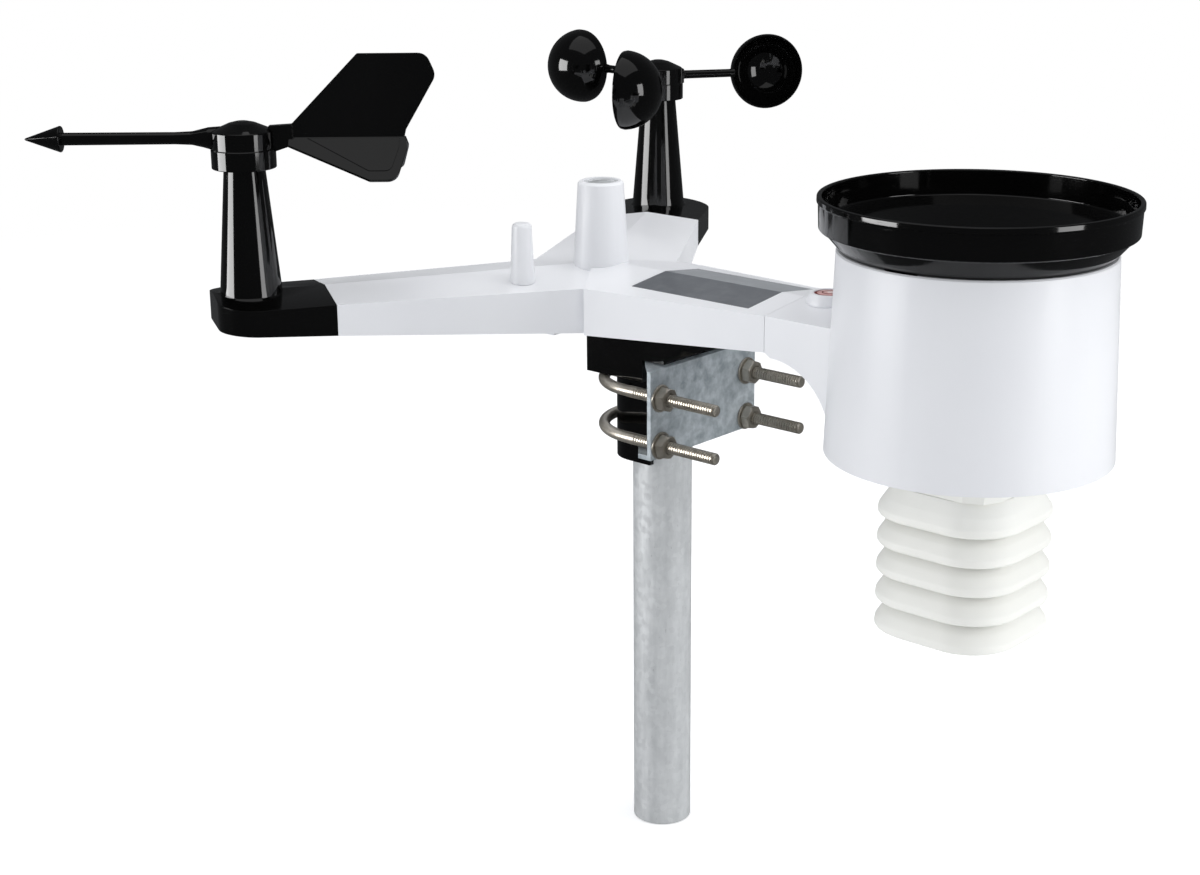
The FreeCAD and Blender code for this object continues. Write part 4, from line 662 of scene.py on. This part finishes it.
def build_louvres():
    low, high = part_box("shield_louvres")
    half = (high.x - low.x) / 2 / MM
    top = (low.z - GAUGE.z) / MM + LOUVRE_BAND + (LOUVRES - 1) * LOUVRE_PITCH
    # (distance in from the edge, height above the top of the upright band)
    section = rounded([
        (0.4, -LOUVRE_BAND, 0.3), (0.0, -2.2, 0.5), (0.2, 0.0, 1.8), (2.4, 4.0, 6.0),
        (5.6, 8.9, 0.4), (half - 12.0, 8.9, 0.3), (half - 12.0, 7.4, 0.3), (7.0, 7.4, 1.0),
        (4.2, 4.0, 4.0), (2.0, -0.4, 0.6), (2.0, -LOUVRE_BAND, 0.4),
    ], pieces=4)
    for index in range(LOUVRES):
        base = top - index * LOUVRE_PITCH
        rings = []
        for point in section:
            reach = half - point.x
            corner = min(reach - 0.01, LOUVRE_CORNER - 0.35 * min(point.x, 6.0))
            rings.append(square_ring(reach, corner, base + point.y))
        piece("shield_louvre_" + str(index + 1), lambda mesh: skin(mesh, rings, closed=True),
              "shield_louvres")

    edge = (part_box("shield_bottom")[0].z - GAUGE.z) / MM
    plate = [square_ring(half - inset, corner, edge + rise)
             for inset, corner, rise in ((2.1, 18.8, 0.0), (2.0, 19.0, 0.3), (2.0, 19.0, 1.4))]
    piece("shield_floor", lambda mesh: loft(mesh, plate), "shield_bottom")


# ---------------------------------------------------------------- clamp

ROD = 2.5 * MM           # radius of a U-bolt
BARE_ROD = ROD - 0.12 * MM
THREAD_PITCH = 1.25 * MM
THREAD_DEPTH = 0.55 * MM
THREAD_START = 9.0 * MM  # where the thread begins, as X in the object's frame
TIP_LENGTH, TIP_DEPTH = 0.9 * MM, 0.75 * MM
THREAD_STEPS = 4         # rings per pitch
BEND_STEPS = 32
BOLT_SIDES = 24
NUT_SIDES = 48
ACROSS_FLATS = 9.2 * MM


def thread_radius(x, tip):
    """Radius of a U-bolt's leg at x: grooves that run out to a bare rod, and a rounded tip."""
    groove = max(0.0, abs(((tip - x) / THREAD_PITCH % 1.0) * 4 - 2) - 1)
    grown = min(1.0, (x - THREAD_START) / (3 * THREAD_PITCH) + 0.15)
    end = min(1.0, (tip - x) / TIP_LENGTH)
    return ROD - THREAD_DEPTH * groove * grown - TIP_DEPTH * (1 - end) ** 1.5


def bolt_path(level):
    """Stations along a U-bolt's centre line: point, heading and radius."""
    low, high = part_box("clamp_u_bolts")
    reach = (high.y - low.y) / 2 - ROD
    bend, tip = low.x + ROD + reach, high.x
    step = THREAD_PITCH / THREAD_STEPS
    threaded = [tip - step * k for k in range(int((tip - THREAD_START) / step))]
    stations = [(Vector((x, -reach, level)), Vector((-1, 0, 0)), thread_radius(x, tip))
                for x in threaded]
    for k in range(BEND_STEPS + 1):
        angle = -math.pi / 2 - math.pi * k / BEND_STEPS
        stations.append((
            Vector((bend + reach * math.cos(angle), reach * math.sin(angle), level)),
            Vector((math.sin(angle), -math.cos(angle), 0)), BARE_ROD))
    return stations + [(Vector((x, reach, level)), Vector((1, 0, 0)), thread_radius(x, tip))
                       for x in reversed(threaded)]


def build_u_bolts():
    low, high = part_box("clamp_u_bolts")
    for name, level in (("upper", high.z - ROD), ("lower", low.z + ROD)):
        rings = []
        for centre, ahead, radius in bolt_path(level):
            side = UP.cross(ahead)
            rings.append([centre + side * math.cos(angle) * radius + UP * math.sin(angle) * radius
                          for angle in round_angles(BOLT_SIDES)])
        piece("u_bolt_" + name, lambda mesh: loft(mesh, rings), "clamp_u_bolts", angle=30.0)


def hexagon(angle):
    """Distance from a nut's axis to its flats at an angle."""
    return ACROSS_FLATS / 2 / math.cos(math.radians(math.degrees(angle) % 60 - 30))


def build_nuts():
    low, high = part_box("clamp_nuts")
    washer_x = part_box("clamp_washers")[0].x
    half_y = (high.y - low.y) / 2 - ACROSS_FLATS / 2 / math.cos(math.radians(30))
    half_z = ACROSS_FLATS / 2
    bore, chamfer, corner = ROD + 0.05 * MM, half_z * 0.96, half_z * 1.01
    # (share of the thickness, greatest radius there)
    limits = [(0.0, bore), (0.0, chamfer), (0.05, corner), (0.16, ACROSS_FLATS),
              (0.84, ACROSS_FLATS), (0.95, corner), (1.0, chamfer), (1.0, ROD + 0.55 * MM),
              (0.9, bore)]
    washer = rounded([(2.75, 0.0, 0.1), (5.8, 0.0, 0.2), (5.8, 0.8, 0.3), (2.75, 0.8, 0.2)],
                     pieces=3)
    for name, y, z, spin in (
        ("front_upper", -half_y, high.z - half_z, 40.0),
        ("front_lower", -half_y, low.z + half_z, 45.0),
        ("rear_upper", half_y, high.z - half_z, 37.0),
        ("rear_lower", half_y, low.z + half_z, 49.0),
    ):
        rings = []
        for share, limit in limits:
            ring = []
            for angle in round_angles(NUT_SIDES):
                size, facing = min(limit, hexagon(angle)), angle + math.radians(spin)
                ring.append(Vector((low.x + (high.x - low.x) * share,
                                    y + size * math.cos(facing), z + size * math.sin(facing))))
            rings.append(ring)
        place = Matrix.Translation((washer_x, y, z)) @ quarter_turn("Y")
        piece("nut_" + name, lambda mesh: skin(mesh, rings, closed=True), "clamp_nuts")
        piece("washer_" + name, lambda mesh: lathe(mesh, washer, place, 48, closed=True),
              "clamp_washers")


# ---------------------------------------------------------------- stage

STAGE_MIDDLE = (0.0, 0.0, 0.28)
# name: place in m, size in m, power in W, True if it is only mirrored, False if it only shades
SOFTBOXES = {
    "left_fill": ((-0.86, -1.13, 0.50), (0.46, 0.62), 3.4, False),
    "right_fill": ((1.40, 0.60, 0.50), (0.60, 0.90), 9.0, False),
    "top_fill": ((0.10, 0.10, 1.5), (1.3, 1.1), 7.5, False),
    "left_window": ((-0.80, -1.14, 0.40), (0.80, 0.70), 19.0, True),
    "top_window": ((0.0, -0.1, 1.3), (1.2, 1.0), 2.0, True),
    "right_window": ((1.15, 0.10, 0.42), (0.36, 0.66), 4.2, True),
}
FLOOR_RADIUS = 3.0       # m
FLOOR_DROP = 0.0002      # m: keeps the floor clear of the mast's end
FLOOR_FADE = (0.6, 0.6, 0.6)  # per m: the fade is 1 at the mast and 0 at 1 / 0.6 m from it
FLOOR_GLOW = 0.27        # light the floor adds for the camera, so that it melts into white

CAMERA_AT = (0.55299, -0.65512, 0.44098)
CAMERA_AHEAD = (-0.63915, 0.71082, -0.29362)
CAMERA_ROLL = -0.0081    # radians
FOCAL_LENGTH, SENSOR_WIDTH = 62.65, 36.0  # mm


def light_the_scene():
    for name, (place, size, power, mirrored) in SOFTBOXES.items():
        light = bpy.data.lights.new(name, "AREA")
        light.shape = "RECTANGLE"
        light.size, light.size_y = size
        light.energy = power
        made = bpy.data.objects.new(name, light)
        made.location = place
        aim = Vector(STAGE_MIDDLE) - Vector(place)
        made.rotation_euler = aim.to_track_quat("-Z", "Y").to_euler()
        made.visible_diffuse = not mirrored
        made.visible_glossy = mirrored
        bpy.context.scene.collection.objects.link(made)


def surround():
    """White for the camera, bright for shading and dim in reflections."""
    world = bpy.data.worlds.new("studio")
    bpy.context.scene.world = world
    nodes = Nodes(world)
    rays = nodes.add("ShaderNodeLightPath").outputs
    seen, shading, mirrored = (
        nodes.add("ShaderNodeBackground", None, {"Color": (*colour, 1), "Strength": strength})
        for colour, strength in ((grey(1), 1.0), ((0.97, 0.98, 1.0), 0.71),
                                 ((0.93, 0.96, 1.0), 0.07)))
    soft = nodes.add("ShaderNodeMixShader", None, {
        0: rays["Is Glossy Ray"], 1: shading.outputs[0], 2: mirrored.outputs[0]})
    both = nodes.add("ShaderNodeMixShader", None, {
        0: rays["Is Camera Ray"], 1: soft.outputs[0], 2: seen.outputs[0]})
    nodes.add("ShaderNodeOutputWorld", None, {"Surface": both.outputs[0]})


def floor_paper():
    """Pale paper that fades out away from the mast, in reflections and seen from below."""
    shader = Shader("floor_paper")
    scaled = shader.add("ShaderNodeMapping", None, {"Vector": shader.space, "Scale": FLOOR_FADE})
    fade = shader.add("ShaderNodeTexGradient", {"gradient_type": "SPHERICAL"}, {
        0: scaled.outputs[0]}).outputs[1]
    share = shader.span(fade, 0.1, 0.75)
    rays = shader.add("ShaderNodeLightPath").outputs
    below = shader.add("ShaderNodeNewGeometry").outputs["Backfacing"]
    hidden = shader.maths("MAXIMUM", below, rays["Is Glossy Ray"])
    share = shader.maths("MAXIMUM", shader.maths("SUBTRACT", share, hidden), 0.0)
    paper = shader.add("ShaderNodeBsdfDiffuse", None, {"Color": (0.93, 0.935, 0.94, 1)})
    lift = shader.add("ShaderNodeEmission", None, {
        "Strength": shader.maths("MULTIPLY", rays["Is Camera Ray"], FLOOR_GLOW)})
    lit = shader.add("ShaderNodeAddShader", None, {0: paper.outputs[0], 1: lift.outputs[0]})
    clear = shader.add("ShaderNodeBsdfTransparent")
    return shader.show(shader.add("ShaderNodeMixShader", None, {
        0: share, 1: clear.outputs[0], 2: lit.outputs[0]}))


def lay_floor():
    mesh = bmesh.new()
    bmesh.ops.create_circle(mesh, cap_ends=True, segments=128, radius=FLOOR_RADIUS)
    data = bpy.data.meshes.new("floor")
    mesh.to_mesh(data)
    mesh.free()
    data.materials.append(floor_paper())
    floor = bpy.data.objects.new("floor", data)
    floor.location.z = -FLOOR_DROP
    bpy.context.scene.collection.objects.link(floor)


def aim_camera():
    """Three-quarter view from the vane's side, a little above the deck."""
    place = Vector(CAMERA_AT)
    ahead = Vector(CAMERA_AHEAD).normalized()
    level = ahead.cross(UP).normalized()
    upright = level.cross(ahead)
    right = level * math.cos(CAMERA_ROLL) + upright * math.sin(CAMERA_ROLL)
    top = upright * math.cos(CAMERA_ROLL) - level * math.sin(CAMERA_ROLL)
    lens = bpy.data.cameras.new("view")
    lens.lens, lens.sensor_width = FOCAL_LENGTH, SENSOR_WIDTH
    lens.clip_start = 0.01
    camera = bpy.data.objects.new("view", lens)
    camera.matrix_world = Matrix((
        (right.x, top.x, -ahead.x, place.x), (right.y, top.y, -ahead.y, place.y),
        (right.z, top.z, -ahead.z, place.z), (0, 0, 0, 1)))
    bpy.context.scene.collection.objects.link(camera)
    bpy.context.scene.camera = camera


dress_cad_nodes()
build_shells()
build_vane()
build_cups()
build_funnel()
build_louvres()
build_u_bolts()
build_nuts()
light_the_scene()
surround()
lay_floor()
aim_camera()
bpy.context.scene.view_settings.view_transform = "Standard"
